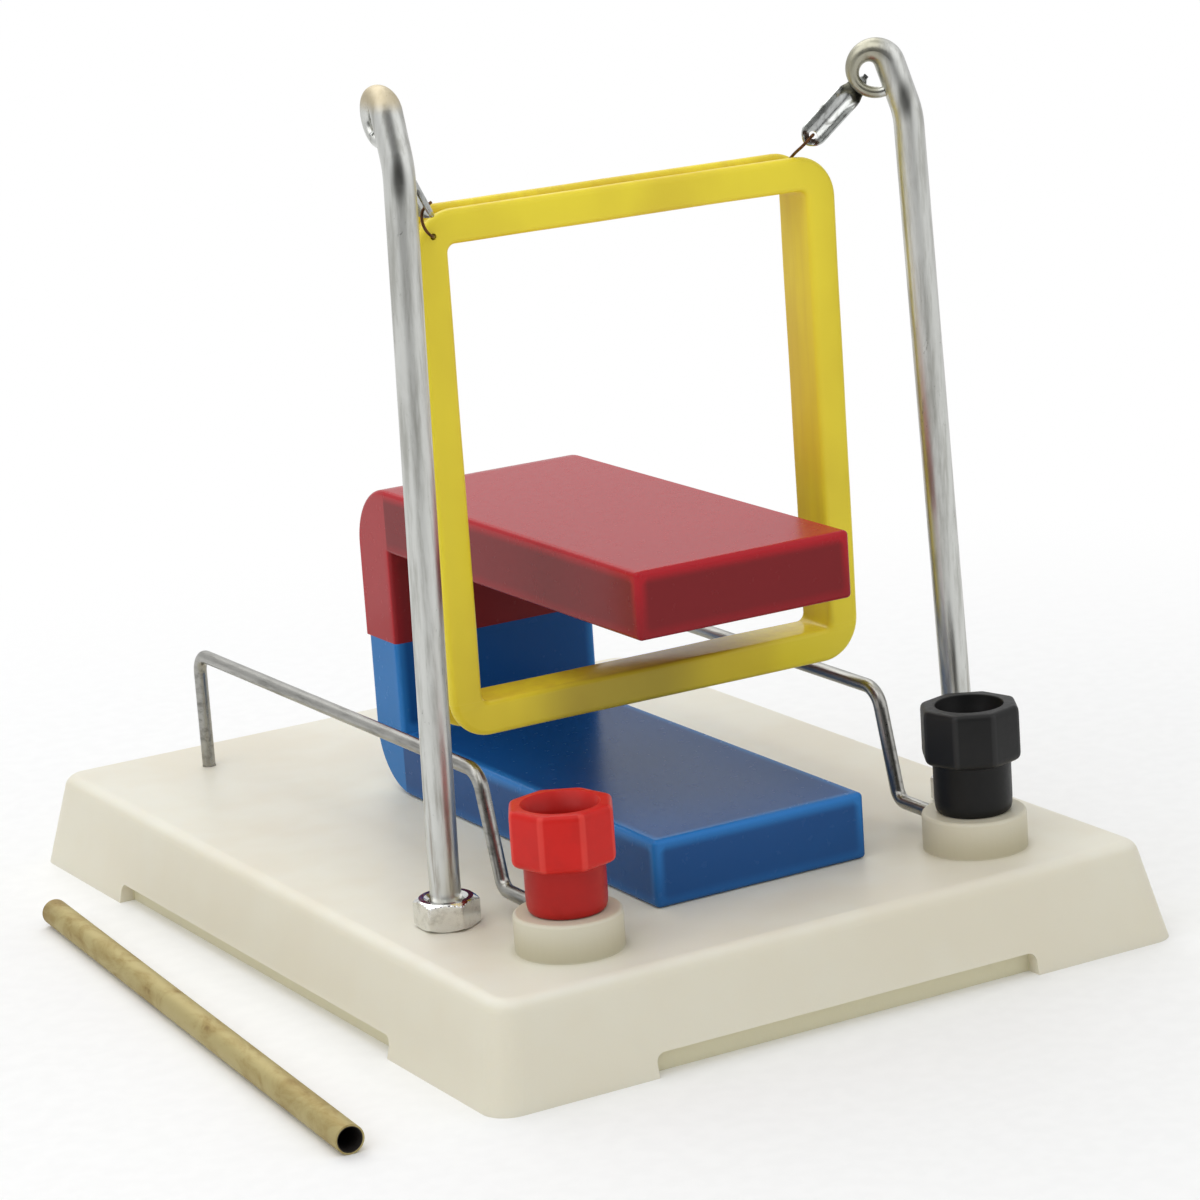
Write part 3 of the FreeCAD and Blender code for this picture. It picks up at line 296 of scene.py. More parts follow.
former = {
    "light": paint(242, 222, 60),
    "deep": paint(226, 202, 56),
    "warm": paint(214, 182, 62),
    "reflectedOlive": paint(138, 116, 54),
    "rough": (0.3, 0.44),
    "centre": -0.9,
    "windowSide": (29.2, 28.4),
    "windowFront": (-31.7, -30.6),
    # painted reflection: the middle of the lower bar's front is painted olive, where the magnet is mirrored
    # in it
    "reflectionCentre": -8.0,
    "reflectionSide": (18.0, 6.0),
    "reflectionTop": (42.6, 41.2),
    "reflectionFront": (-29.6, -31.2),
    "shineTop": (42.4, 42.0),
    "shineFoot": (41.3, 41.7),
}


def yellowPlastic():
    finish = Finish("yellowPlastic", {"Specular IOR Level": 0.25})
    x, y, z = finish.axes()
    cloud = finish.grain(12.0, 3, 0.5, stretch=(0.6, 1, 0.35))
    flow = finish.grain(2.2, 4, 0.6, stretch=(1, 1, 0.06), shift=6.0)
    colour = finish.blend(finish.fade(cloud, 0.35, 0.7), former["light"], former["deep"])
    inWindow = finish.fade(abs(x - former["centre"]), *former["windowSide"])
    inWindow = inWindow * finish.fade(y, *former["windowFront"])
    colour = finish.blend(inWindow * finish.fade(flow, 0.35, 0.75) * 0.5, colour, former["warm"])
    # painted reflection of the magnet on the front of the lower bar
    paintedReflection = finish.fade(abs(x - former["reflectionCentre"]), *former["reflectionSide"])
    paintedReflection = paintedReflection * finish.fade(z, *former["reflectionTop"]) * finish.fade(y, *former["reflectionFront"])
    colour = finish.blend(paintedReflection * 0.6, colour, former["reflectedOlive"])
    pits = finish.grain(0.6, 3, 0.6, shift=8.0)
    waves = finish.grain(9.0, 2, 0.4, shift=1.0)
    normal = finish.bump(waves, 0.1, under=finish.bump(pits, 0.01))
    shine = finish.fade(z, *former["shineTop"]) * finish.fade(z, *former["shineFoot"])
    return finish.wear(colour, finish.spread(cloud, *former["rough"]) * (1 - 0.5 * shine), normal=normal)


tapeLook = {"light": paint(226, 204, 60), "deep": paint(205, 176, 52), "rough": (0.28, 0.42)}


def tapePlastic():
    finish = Finish("windingTape", {"Specular IOR Level": 0.45})
    streak = finish.grain(0.5, 4, 0.6, stretch=(0.05, 1, 0.05))
    colour = finish.blend(finish.fade(streak, 0.35, 0.7), tapeLook["light"], tapeLook["deep"])
    creases = finish.grain(3.0, 4, 0.6, stretch=(0.3, 1, 0.3), shift=2.0)
    normal = finish.bump(creases, 0.05, under=finish.bump(streak, 0.02))
    return finish.wear(colour, finish.spread(creases, *tapeLook["rough"]), normal=normal)


# screw caps: their finish here, their mesh further down

cap = {
    "red": {"light": paint(206, 34, 28), "dark": paint(160, 30, 26), "edge": paint(232, 84, 74),
            "rough": (0.3, 0.42), "glow": 0.08, "x": -33.0, "taller": 0.2, "across": 1.0, "mouth": 5.4},
    "black": {"light": paint(30, 30, 30), "dark": paint(23, 23, 23), "edge": paint(58, 58, 58),
              "rough": (0.38, 0.5), "glow": 0.0, "x": 33.0, "taller": 0.8, "across": 0.97, "mouth": 4.9},
    "neckShade": (27.0, 25.4),
    "flatsFrom": (6.7, 7.0),
    "mouthShade": (5.4, 4.6),
    "sides": 8,
    "turn": 15.6,
    "y": -57.6,
    "base": 19.5,
    "neckTop": 6.1,
    "top": 14.6,
    "sharpness": 60,
    "points": 240,
    # height over the boss, whether the ring has flats, and half its width
    "profile": [
        (1.0, False, 3.06), (1.0, False, 4.24), (0.0, False, 4.24), (0.0, False, 4.75), (0.1, False, 5.05),
        (0.4, False, 5.3), (1.0, False, 5.44), (2.0, False, 5.5), (6.1, False, 5.5), (6.45, False, 5.56),
        (6.6, False, 5.75), (6.62, True, 6.0), (6.7, True, 6.25), (6.95, True, 6.6), (7.3, True, 6.82),
        (7.8, True, 6.9), (13.6, True, 6.88), (14.1, True, 6.8), (14.4, True, 6.62), (14.56, True, 6.35),
        (14.6, True, 6.1), (14.6, False, "mouth"), (14.5, False, "mouth"), (12.9, False, 4.6),
        (12.4, False, 4.36), (11.9, False, 4.3), (7.45, False, 4.3), (7.2, False, 4.15), (7.2, False, 3.06),
    ],
}


def capPlastic(name, part):
    look = cap[part]
    finish = Finish(name, {"Specular IOR Level": 0.2, "Subsurface Weight": look["glow"],
                           "Subsurface Radius": (1.0, 0.25, 0.2), "Subsurface Scale": 0.002})
    x, y, z = finish.axes()
    low = finish.fade(z, *cap["neckShade"])
    cloud = finish.grain(4.0, 4, 0.6)
    shade = finish.clamp(low * 0.7 + finish.fade(cloud, 0.4, 0.75) * 0.25)
    colour = finish.blend(shade, look["light"], look["dark"])
    # light catches the edges between the flats, and the mouth is darker
    turned = finish.maths("ARCTAN2", y - cap["y"], x - look["x"]) - math.radians(cap["turn"])
    corner = finish.fade(finish.maths("COSINE", turned * cap["sides"]), -0.8, -0.98) * (1 - low)
    fromAxis = away(x - look["x"], y - cap["y"])
    colour = finish.blend(corner * finish.fade(fromAxis, *cap["flatsFrom"]) * 0.45, colour, look["edge"])
    colour = finish.blend(finish.fade(fromAxis, *cap["mouthShade"]) * 0.6, colour, look["dark"])
    scuff = finish.grain(0.9, 4, 0.7, shift=5.0)
    waves = finish.grain(3.4, 2, 0.5, shift=3.0)
    normal = finish.bump(waves, 0.05, under=finish.bump(scuff, 0.005))
    return finish.wear(colour, finish.spread(scuff, *look["rough"]), normal=normal)


postLook = {
    "clean": paint(209, 210, 206),
    "dull": paint(174, 174, 168),
    # real marks and painted dark reflections share this colour
    "markAndDarkReflection": paint(92, 92, 88),
    "rust": paint(150, 128, 110),
    "tan": paint(194, 180, 148),
    "reflectedOlive": paint(150, 146, 122),
    "rough": (0.3, 0.42),
    # the crown of the left eye has lost its plating; the right eye is painted olive, a painted reflection of
    # darker surroundings
    "crownHigh": (124.2, 126.4),
    "crownSide": (10.0, -10.0),
    "loopSide": (38.2, 36.4),
    "loopHigh": (125.0, 126.6),
    "loopOnly": (0.0, 20.0),
    "loopFoot": (112.0, 114.0),
    "rustHigh": (40.0, 22.0),
    # painted reflections: dark patches in the bends, turned towards the camera: middle of the rod and its
    # height, their half size and where they face
    "mirrorSpots": [(-39.35, -37.95, 116.0), (40.6, -37.8, 117.4)],
    "mirrorWide": 1.25,
    "mirrorHigh": 3.6,
    "mirrorFacing": (-0.51, -0.86),
    "mirrorFront": (0.4, 1.2),
}


def wornNickel():
    finish = Finish("wornNickel", {"Metallic": 1.0})
    x, y, z = finish.axes()
    streak = finish.grain(1.1, 5, 0.65, stretch=(1, 1, 0.09))
    patch = finish.grain(6.0, 4, 0.6, stretch=(1, 1, 0.3), shift=2.0, twist=0.6)
    fleck = finish.grain(0.8, 4, 0.75, stretch=(1, 1, 0.35), shift=7.0, twist=1.2)
    colour = finish.blend(finish.fade(streak, 0.4, 0.72), postLook["clean"], postLook["dull"])
    colour = finish.blend(finish.fade(patch, 0.5, 0.8) * 0.5, colour, postLook["dull"])
    marks = finish.fade(fleck, 0.62, 0.72) * finish.fade(patch, 0.45, 0.65)
    colour = finish.blend(marks * 0.6, colour, postLook["markAndDarkReflection"])
    crown = finish.fade(z, *postLook["crownHigh"]) * finish.fade(x, *postLook["crownSide"])
    colour = finish.blend(crown * 0.8, colour, postLook["tan"])
    # painted reflection: the right eye is painted olive
    reflectedLoop = finish.clamp(finish.fade(x, *postLook["loopSide"]) + finish.fade(z, *postLook["loopHigh"]))
    reflectedLoop = reflectedLoop * finish.fade(x, *postLook["loopOnly"])
    colour = finish.blend(reflectedLoop * finish.fade(z, *postLook["loopFoot"]) * 0.75, colour, postLook["reflectedOlive"])
    faceX, faceY = postLook["mirrorFacing"]
    # painted reflection: dark patches on the bends, turned towards the camera
    for across, deep, high in postLook["mirrorSpots"]:
        beside = (x - across) * -faceY + (y - deep) * faceX
        facing = (x - across) * faceX + (y - deep) * faceY
        spot = away(beside / postLook["mirrorWide"], (z - high) / postLook["mirrorHigh"])
        dark = finish.fade(spot, 1.15, 0.25) * finish.fade(facing, *postLook["mirrorFront"])
        colour = finish.blend(dark * 0.85, colour, postLook["markAndDarkReflection"])
    low = finish.fade(z, *postLook["rustHigh"]) * finish.fade(streak, 0.5, 0.66)
    colour = finish.blend(low * 0.35, colour, postLook["rust"])
    rough = finish.clamp(finish.spread(streak, *postLook["rough"]) + marks * 0.3 + crown * 0.2)
    dips = finish.grain(2.4, 3, 0.5, stretch=(1, 1, 0.4), shift=4.0)
    normal = finish.bump(dips, 0.03, under=finish.bump(streak, 0.012))
    return finish.wear(colour, rough, normal=normal)


def platedSteel(name, clean, dull, rough, size=1.6, stretch=(1, 1, 1)):
    finish = Finish(name, {"Metallic": 1.0})
    scuff = finish.grain(size, 5, 0.65, stretch=stretch)
    patch = finish.grain(size * 4, 3, 0.6, shift=3.0)
    colour = finish.blend(finish.fade(scuff, 0.45, 0.75), clean, dull)
    colour = finish.blend(finish.fade(patch, 0.5, 0.8) * 0.4, colour, dull)
    normal = finish.bump(scuff, 0.008, under=finish.bump(patch, 0.032))
    return finish.wear(colour, finish.spread(scuff, *rough), normal=normal)


linkLook = {"bright": paint(186, 188, 186), "dark": paint(84, 83, 78), "tan": paint(150, 144, 128),
            "rough": (0.16, 0.28)}


def linkMetal():
    finish = Finish("linkMetal", {"Metallic": 1.0})
    blotch = finish.grain(2.6, 3, 0.5, twist=0.4)
    fine = finish.grain(0.5, 4, 0.6, shift=4.0)
    colour = finish.blend(finish.fade(blotch, 0.5, 0.66) * 0.85, linkLook["bright"], linkLook["dark"])
    colour = finish.blend(finish.fade(fine, 0.55, 0.75) * 0.3, colour, linkLook["tan"])
    normal = finish.bump(blotch, 0.04, under=finish.bump(fine, 0.006))
    return finish.wear(colour, finish.spread(fine, *linkLook["rough"]), normal=normal)


brassLook = {
    "bright": paint(177, 163, 112),
    "dull": paint(160, 141, 88),
    "tarnish": paint(124, 97, 56),
    # painted shade inside the hole
    "hole": paint(34, 28, 24),
    "rough": (0.5, 0.66),
    "metal": 0.6,
    # the middle of the tube, its turn in degrees, its tarnished end and the edge of its hole, inside which
    # shade is painted
    "middle": (-70.7, -15.6, 2.0),
    "turn": -3.9,
    "rear": (50.0, 57.5),
    "boreShadeEdge": (1.8, 1.72),
}


def oldBrass():
    finish = Finish("oldBrass", {})
    x, y, z = finish.axes()
    middleX, middleY, middleZ = brassLook["middle"]
    level, slope = math.cos(math.radians(brassLook["turn"])), math.sin(math.radians(brassLook["turn"]))
    across = (x - middleX) * level + (y - middleY) * slope
    along = (y - middleY) * level - (x - middleX) * slope
    streak = finish.grain(1.0, 5, 0.65, stretch=(1, 0.12, 1))
    patch = finish.grain(4.5, 5, 0.65, stretch=(1, 0.45, 1), shift=6.0, twist=0.7)
    colour = finish.blend(finish.fade(patch, 0.42, 0.66), brassLook["bright"], brassLook["dull"])
    spots = finish.fade(patch, 0.56, 0.7) * finish.fade(streak, 0.42, 0.62)
    colour = finish.blend(spots * 0.75, colour, brassLook["tarnish"])
    colour = finish.blend(finish.fade(along, *brassLook["rear"]) * 0.35, colour, brassLook["tarnish"])
    # painted shade: the inside of the hole is painted dark
    boreShade = finish.fade(away(across, z - middleZ), *brassLook["boreShadeEdge"])
    colour = finish.blend(boreShade, colour, brassLook["hole"])
    rough = finish.clamp(finish.spread(patch, *brassLook["rough"]) + boreShade * 0.3)
    normal = finish.bump(streak, 0.015, under=finish.bump(patch, 0.04))
    return finish.wear(colour, rough, brassLook["metal"] * (1.0 - boreShade), normal=normal)


def bareWire():
    finish = Finish("bareWire", {"Metallic": 0.75})
    streak = finish.grain(0.5, 4, 0.6, stretch=(1, 1, 0.3))
    colour = finish.blend(finish.fade(streak, 0.4, 0.68), paint(104, 66, 32), paint(54, 34, 18))
    return finish.wear(colour, finish.spread(streak, 0.3, 0.45), normal=finish.bump(streak, 0.01))


def softSkin(name, colour, shade):
    finish = Finish(name, {"Specular IOR Level": 0.4})
    cloud = finish.grain(3.0, 4, 0.6)
    pits = finish.grain(0.3, 2, 0.5, shift=2.0)
    mixed = finish.blend(finish.fade(cloud, 0.35, 0.7), colour, shade)
    return finish.wear(mixed, finish.spread(cloud, 0.42, 0.58), normal=finish.bump(pits, 0.01))


def darkFerrite():
    finish = Finish("darkFerrite", {"Metallic": 0.2})
    grit = finish.grain(0.5, 5, 0.7)
    colour = finish.blend(finish.fade(grit, 0.35, 0.7), paint(62, 62, 64), paint(40, 40, 42))
    return finish.wear(colour, finish.spread(grit, 0.5, 0.7), normal=finish.bump(grit, 0.04))


# name, clean colour, dull colour, range of the roughness, size of the marks
plated = {
    "nut_chrome": ("brightPlate", paint(226, 226, 224), paint(196, 194, 188), (0.08, 0.2), 1.4),
    "washer_zinc": ("zincPlate", paint(186, 190, 196), paint(150, 152, 156), (0.25, 0.4), 2.0),
    "tag_tin": ("tinPlate", paint(205, 205, 200), paint(170, 168, 160), (0.22, 0.36), 1.0),
    "stud_nickel": ("studNickel", paint(206, 200, 186), paint(170, 160, 140), (0.18, 0.3), 1.2),
    "rail_chrome": ("railPlate", paint(164, 163, 158), paint(118, 117, 112), (0.26, 0.36), 1.2, (1, 0.12, 1)),
    "winding_copper": ("enamelCopper", paint(190, 110, 66), paint(150, 80, 44), (0.25, 0.4), 0.4),
    "yoke_steel": ("yokeSteel", paint(150, 150, 152), paint(112, 110, 108), (0.35, 0.5), 2.4),
}
finishes = {slot: platedSteel(*look) for slot, look in plated.items()}
finishes.update({
    "base_plastic": ivoryPlastic(),
    "post_nickel": wornNickel(),
    "red_insulation": softSkin("redInsulation", paint(178, 24, 22), paint(150, 18, 18)),
    "black_insulation": softSkin("blackInsulation", paint(34, 34, 35), paint(24, 24, 25)),
    "red_cap_plastic": capPlastic("redCap", "red"),
    "black_cap_plastic": capPlastic("blackCap", "black"),
    "former_plastic": yellowPlastic(),
    "winding_tape": tapePlastic(),
    "link_steel": linkMetal(),
    "lead_copper": bareWire(),
    "magnet_red": shellPlastic("redShell", "red", True),
    "magnet_blue": shellPlastic("blueShell", "blue", False),
    "pole_ferrite": darkFerrite(),
    "tube_brass": oldBrass(),
})
for part in frame["record"]["subparts"]:
    for place in nodes[part["node"]].material_slots:
        place.material = finishes[part["material_slot"]].material
print("finishes made:", len(finishes))


# mesh tools, all lengths in millimetres

mergeGap = 0.002
drillDeep = 4.0


def addObject(name, data):
    made = bpy.data.objects.new(name, data)
    bpy.context.scene.collection.objects.link(made)
    return made


def finalMesh(thing):
    # the mesh after its modifiers, or a curve turned into a mesh
    bpy.context.view_layer.update()
    return bpy.data.meshes.new_from_object(thing.evaluated_get(bpy.context.evaluated_depsgraph_get()))


def makePiece(name, rings, faces, slot, body, stands, sharp=32):
    points = [point for ring in rings for point in ring]
    mesh = bpy.data.meshes.new(name)
    mesh.from_pydata([Vector(point) * mm for point in points], [], faces)
    shape = bmesh.new()
    shape.from_mesh(mesh)
    bmesh.ops.remove_doubles(shape, verts=shape.verts, dist=mergeGap * mm)
    bmesh.ops.recalc_face_normals(shape, faces=shape.faces)
    for face in shape.faces:
        face.smooth = True
    for edge in shape.edges:
        edge.smooth = len(edge.link_faces) != 2 or edge.calc_face_angle() < math.radians(sharp)
    shape.to_mesh(mesh)
    shape.free()
    return addPiece(name, mesh, slot, body, stands)


def addPiece(name, mesh, slot, body, stands):
    mesh.materials.clear()
    mesh.materials.append(finishes[slot].material)
    piece = addObject(name, mesh)
    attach(piece, body)
    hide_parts(*stands)
    return piece


def skin(rings, closed=True, first=0):
    # quads between following rings of equally many points
    count = len(rings[0])
    faces = []
    for low in range(len(rings) if closed else len(rings) - 1):
        high = (low + 1) % len(rings)
        for index in range(count):
            other = (index + 1) % count
            faces.append((first + low * count + index, first + low * count + other,
                          first + high * count + other, first + high * count + index))
    return faces


def drillHole(piece, spot, along, radius):
    shape = bmesh.new()
    turned = Vector((0, 0, 1)).rotation_difference(Vector(along)).to_matrix().to_4x4()
    bmesh.ops.create_cone(shape, cap_ends=True, segments=24, radius1=radius * mm, radius2=radius * mm,
                          depth=drillDeep * mm, matrix=Matrix.Translation(Vector(spot) * mm) @ turned)
    mesh = bpy.data.meshes.new("drill")
    shape.to_mesh(mesh)
    shape.free()
    tool = addObject("drill", mesh)
    cut = piece.modifiers.new("hole", "BOOLEAN")
    cut.object = tool
    cut.operation = "DIFFERENCE"
    cut.solver = "EXACT"
    done = finalMesh(piece)
    piece.modifiers.clear()
    piece.data = done
    bpy.data.objects.remove(tool)
    return piece


def flatsRadius(angle, sides, half, sharpness):
    # distance to a polygon with softened corners, half across its flats
    total = 0.0
    for side in range(sides):
        towards = math.cos(angle - side * math.tau / sides)
        if towards > 0:
            total += (towards / half) ** sharpness
    return total ** (-1 / sharpness)


# the caps' meshes

def makeCap(part):
    look = cap[part]
    turn = math.radians(cap["turn"])
    rings = []
    for height, flats, half in cap["profile"]:
        rise = look["taller"] if height > cap["neckTop"] else 0.0
        if half == "mouth":
            half = look["mouth"] - (cap["top"] - height)
        ring = []
        for index in range(cap["points"]):
            angle = index * math.tau / cap["points"]
            radius = half
            if flats:
                radius = flatsRadius(angle, cap["sides"], half * look["across"], cap["sharpness"])
            ring.append((look["x"] + radius * math.cos(angle + turn),
                         cap["y"] + radius * math.sin(angle + turn), cap["base"] + height + rise))
        rings.append(ring)
    return makePiece(f"{part}Cap", rings, skin(rings), f"{part}_cap_plastic", f"{part}_cap",
                     [f"{part}_terminal_cap"])


makeCap("red")
makeCap("black")
print("caps made")


# nuts on the base

nut = {
    "half": 4.0,
    "high": 4.0,
    "base": 14.2,
    "sides": 6,
    "face": 3.76,
    "faceEdge": 0.12,
    "slope": 30.0,
    "bore": 2.5,
    "mouth": 3.05,
    "mouthDeep": 0.5,
    "points": 180,
    "sharpness": 110,
    # heights of the rings on the lower half of the flats, close together where the corners are rounded
    "steps": [0, 0.06, 0.14, 0.24, 0.36, 0.5, 0.7],
    "places": [(-41.0, -38.0), (44.7, -38.0)],
}


def makeNuts():
    rings = []
    faces = []
    high = nut["high"]
    rim = nut["face"] - nut["faceEdge"]
    heights = nut["steps"] + [high / 2] + [high - step for step in reversed(nut["steps"])]
    profile = [(nut["mouthDeep"], nut["bore"]), (0.0, nut["mouth"]), (0.0, rim)]
    profile += [(height, None) for height in heights]
    profile += [(high, rim), (high, nut["mouth"]), (high - nut["mouthDeep"], nut["bore"])]
    for across, along in nut["places"]:
        around = []
        for height, radius in profile:
            ring = []
            for index in range(nut["points"]):
                angle = index * math.tau / nut["points"]
                reach = radius
                if radius is None:
                    cone = nut["face"] + min(height, high - height) / math.tan(math.radians(nut["slope"]))
                    reach = min(flatsRadius(angle, nut["sides"], nut["half"], nut["sharpness"]), cone)
                ring.append((across + reach * math.cos(angle), along + reach * math.sin(angle),
                             nut["base"] + height))
            around.append(ring)
        faces += skin(around, first=len(rings) * nut["points"])
        rings += around
    return makePiece("topNuts", rings, faces, "nut_chrome", "stand", ["post_top_nuts"], sharp=18)


makeNuts()
print("nuts made")


# wound frame

coil = {
    "x": -0.9,
    "y": -27.6,
    "bottom": 37.1,
    "wide": 66.9,
    "high": 73.1,
    "corner": 6.0,
    "window": 1.0,
    "half": 4.0,
    "face": 4.82,
    "flange": 1.9,
    "groove": 2.9,
    "fillet": 0.2,
    "lip": 0.9,
    "edge": 0.8,
    "uneven": 0.07,
    "unevenSize": 14.0,
    "unevenSeed": 7,
    "cornerSteps": 14,
    "sideSteps": 18,
    # how deep the tape lies, its thickness, its gap to the flanges, and its ripples and their number
    "tape": 1.5,
    "tapeThick": 0.2,
    "tapeGap": 0.07,
    "tapeSteps": 22,
    "ripple": 0.05,
    "ripples": 7,
    # place across and up the frame, and radius, of the hole for the lead
    "hole": (-30.84, 69.73, 0.45),
}


def roundCorner(centre, radius, start, end, steps):
    angles = [math.radians(start + (end - start) * index / steps) for index in range(steps + 1)]
    return [(centre[0] + radius * math.cos(angle), centre[1] + radius * math.sin(angle)) for angle in angles]


def frameRing(inset, depth):
    # one line round the frame, at this inset from its outside and this depth from its middle
    radius = max(coil["corner"] - inset, coil["window"])
    across = coil["wide"] / 2 - inset - radius
    low = inset + radius
    high = coil["high"] - inset - radius
    corners = [(across, low), (across, high), (-across, high), (-across, low)]
    arcs = [roundCorner(corner, radius, -90 + 90 * index, 90 * index, coil["cornerSteps"])
            for index, corner in enumerate(corners)]
    line = []
    for arc, following in zip(arcs, arcs[1:] + arcs[:1]):
        (u, v), (nextU, nextV) = arc[-1], following[0]
        shares = [step / coil["sideSteps"] for step in range(1, coil["sideSteps"])]
        line += arc + [(u + (nextU - u) * share, v + (nextV - v) * share) for share in shares]
    return [unevenly((coil["x"] + u, coil["y"] + depth, coil["bottom"] + v)) for u, v in line]


def unevenly(point):
    return Vector(point) + noise.noise_vector(Vector(point) / coil["unevenSize"]) * coil["uneven"]


def makeFormer():
    lip, half, inner, edge = coil["lip"], coil["half"], coil["half"] - coil["flange"], coil["edge"]
    # inset and depth round the section, from the window's front edge outwards
    profile = roundCorner((coil["face"] - edge, -half + edge), edge, 0, -90, 4)
    profile += roundCorner((lip, -half + lip), lip, -90, -180, 6)
    profile += roundCorner((lip, -inner - lip), lip, 180, 90, 6)
    groove, fillet = coil["groove"], coil["fillet"]
    profile += [(groove - fillet, -inner), (groove, -inner + fillet), (groove, 0)]
    profile += [(inset, -depth) for inset, depth in reversed(profile[:-1])]
    rings = [frameRing(inset, depth) for inset, depth in profile]
    piece = makePiece("coilFormer", rings, skin(rings), "former_plastic", "coil", ["coil_former"])
    u, v, radius = coil["hole"]
    return drillHole(piece, (coil["x"] + u, coil["y"] - half, coil["bottom"] + v), (0, 1, 0), radius)


def makeTape():
    wide = coil["half"] - coil["flange"] - coil["tapeGap"]
    depths = [(index / coil["tapeSteps"] * 2 - 1) * wide for index in range(coil["tapeSteps"] + 1)]
    waves = [1 - math.cos(depth / wide * math.pi * coil["ripples"]) for depth in depths]
    profile = [(coil["tape"] + coil["ripple"] * wave, depth) for wave, depth in zip(waves, depths)]
    under = coil["tape"] + coil["tapeThick"] + coil["ripple"] * 2
    profile += [(under, depth) for depth in reversed(depths)]
    rings = [frameRing(inset, depth) for inset, depth in profile]
    return makePiece("windingTape", rings, skin(rings), "winding_tape", "coil", ["winding_tape"])


noise.seed_set(coil["unevenSeed"])  # without it noise_vector gives other values on every run
makeFormer()
makeTape()
print("wound frame made")


# links between the eyes and the frame

link = {
    "half": 1.75,
    "thick": 0.35,
    "past": 1.7,
    "tongue": 0.35,
    "bow": 1.1,
    "roll": 0.22,
    "curl": 1.675,
    "curlSteps": (115, 105, 95, 85, 75, 65, 55, 45, 35, 25, 16, 8),
    "straightSteps": 23,
    "endSteps": (10, 18, 26, 34, 42, 50, 58, 66, 74, 82),
    "hole": 0.6,
    "count": 7,
    # along the strip: where it gets its full width, and where its bow starts and ends
    "widens": (0.0, 1.4),
    "bows": (0.4, 3.2),
    # centre of the eye's wire, the link's hole, the turn of its width and half the width at the eye
    "left": ((-39.44, -33.37, 120.48), (-33.6, -34.05, 111.5), 97.0, 0.75),
    "right": ((35.07, -34.66, 119.59), (28.39, -32.75, 113.23), 150.6, 1.4),
}


def smooth(value, start, end):
    share = min(max((value - start) / (end - start), 0.0), 1.0)
    return share * share * (3 - 2 * share)


def makeLink(side):
    centre, hole, turn, shoulder = link[side]
    centre = Vector(centre)
    hang = Vector(hole) - centre
    holeAt = math.sqrt(hang.length ** 2 - link["curl"] ** 2)
    hang.normalize()
    level = Vector((math.cos(math.radians(turn)), math.sin(math.radians(turn)), 0))
    width = (level - hang * level.dot(hang)).normalized()
    tilt = math.atan2(link["curl"], holeAt)
    along = hang * math.cos(tilt) - hang.cross(width) * math.sin(tilt)
    out = along.cross(width).normalized()
    straight = holeAt + link["past"] - link["half"]
    # stations from the tip of the curl to the lower end: length, width and bow
    stations = []
    for angle in link["curlSteps"]:
        wide = shoulder + (link["tongue"] - shoulder) * smooth(angle, 0, 85)
        stations.append((-math.radians(angle) * link["curl"], wide, 0.0))
    for step in range(link["straightSteps"] + 1):
        place = straight * step / link["straightSteps"]
        wide = shoulder + (link["half"] - shoulder) * smooth(place, *link["widens"])
        stations.append((place, wide, link["bow"] * smooth(place, *link["bows"])))
    for angle in link["endSteps"]:
        turned = math.radians(angle)
        stations.append((straight + link["half"] * math.sin(turned), link["half"] * math.cos(turned),
                         link["bow"] * math.cos(turned)))
    rings = []
    for place, wide, bow in stations:
        middle = centre + along * place + out * link["curl"]
        upright = out
        if place < 0:
            angle = -place / link["curl"]
            upright = out * math.cos(angle) - along * math.sin(angle)
            middle = centre + upright * link["curl"]
        outer = []
        inner = []
        for index in range(-link["count"], link["count"] + 1):
            share = index / link["count"]
            sink = bow * share ** 2 + link["roll"] * bow * smooth(abs(share), 0.7, 1.0)
            point = middle + width * (wide * share) - upright * sink
            normal = (upright + width * (2 * bow * share / max(wide, 0.3))).normalized()
            thick = link["thick"] / 2 * (1 - 0.35 * smooth(abs(share), 0.8, 1.0))
            outer.append(point + normal * thick)
            inner.append(point - normal * thick)
        rings.append(outer + inner[::-1])
    around = len(rings[0])
    last = len(rings) * around - 1
    faces = skin(rings, closed=False)
    faces += [tuple(range(around)), tuple(last - index for index in range(around))]
    piece = makePiece(f"{side}Link", rings, faces, "link_steel", "coil", [f"{side}_link"], sharp=50)
    return drillHole(piece, centre + along * holeAt + out * link["curl"], out, link["hole"])


lead = {
    "radius": 0.21,
    # from the hole in the left link to the hole in the flange
    "route": [(-32.9, -33.95, 111.85), (-33.6, -34.05, 111.5), (-34.5, -34.15, 111.1), (-34.75, -34.3, 109.7),
              (-34.3, -34.2, 108.4), (-33.3, -33.7, 107.4), (-32.2, -32.8, 106.95), (-31.74, -31.5, 106.83),
              (-31.74, -29.8, 106.83)],
}


def makeLead():
    curve = bpy.data.curves.new("leadLine", "CURVE")
    curve.dimensions = "3D"
    curve.bevel_depth = lead["radius"] * mm
    curve.bevel_resolution = 4
    curve.use_fill_caps = True
    line = curve.splines.new("NURBS")
    line.points.add(len(lead["route"]) - 1)
    for point, place in zip(line.points, lead["route"]):
        point.co = (*(Vector(place) * mm), 1)
    line.order_u = 4
    line.use_endpoint_u = True
    line.resolution_u = 12
    holder = addObject("leadLine", curve)
    mesh = finalMesh(holder)
    bpy.data.objects.remove(holder)
    return addPiece("leftLead", mesh, "lead_copper", "coil", ["left_coil_lead"])


makeLink("left")
makeLink("right")
makeLead()
print("links and lead made")


# floor, light and camera

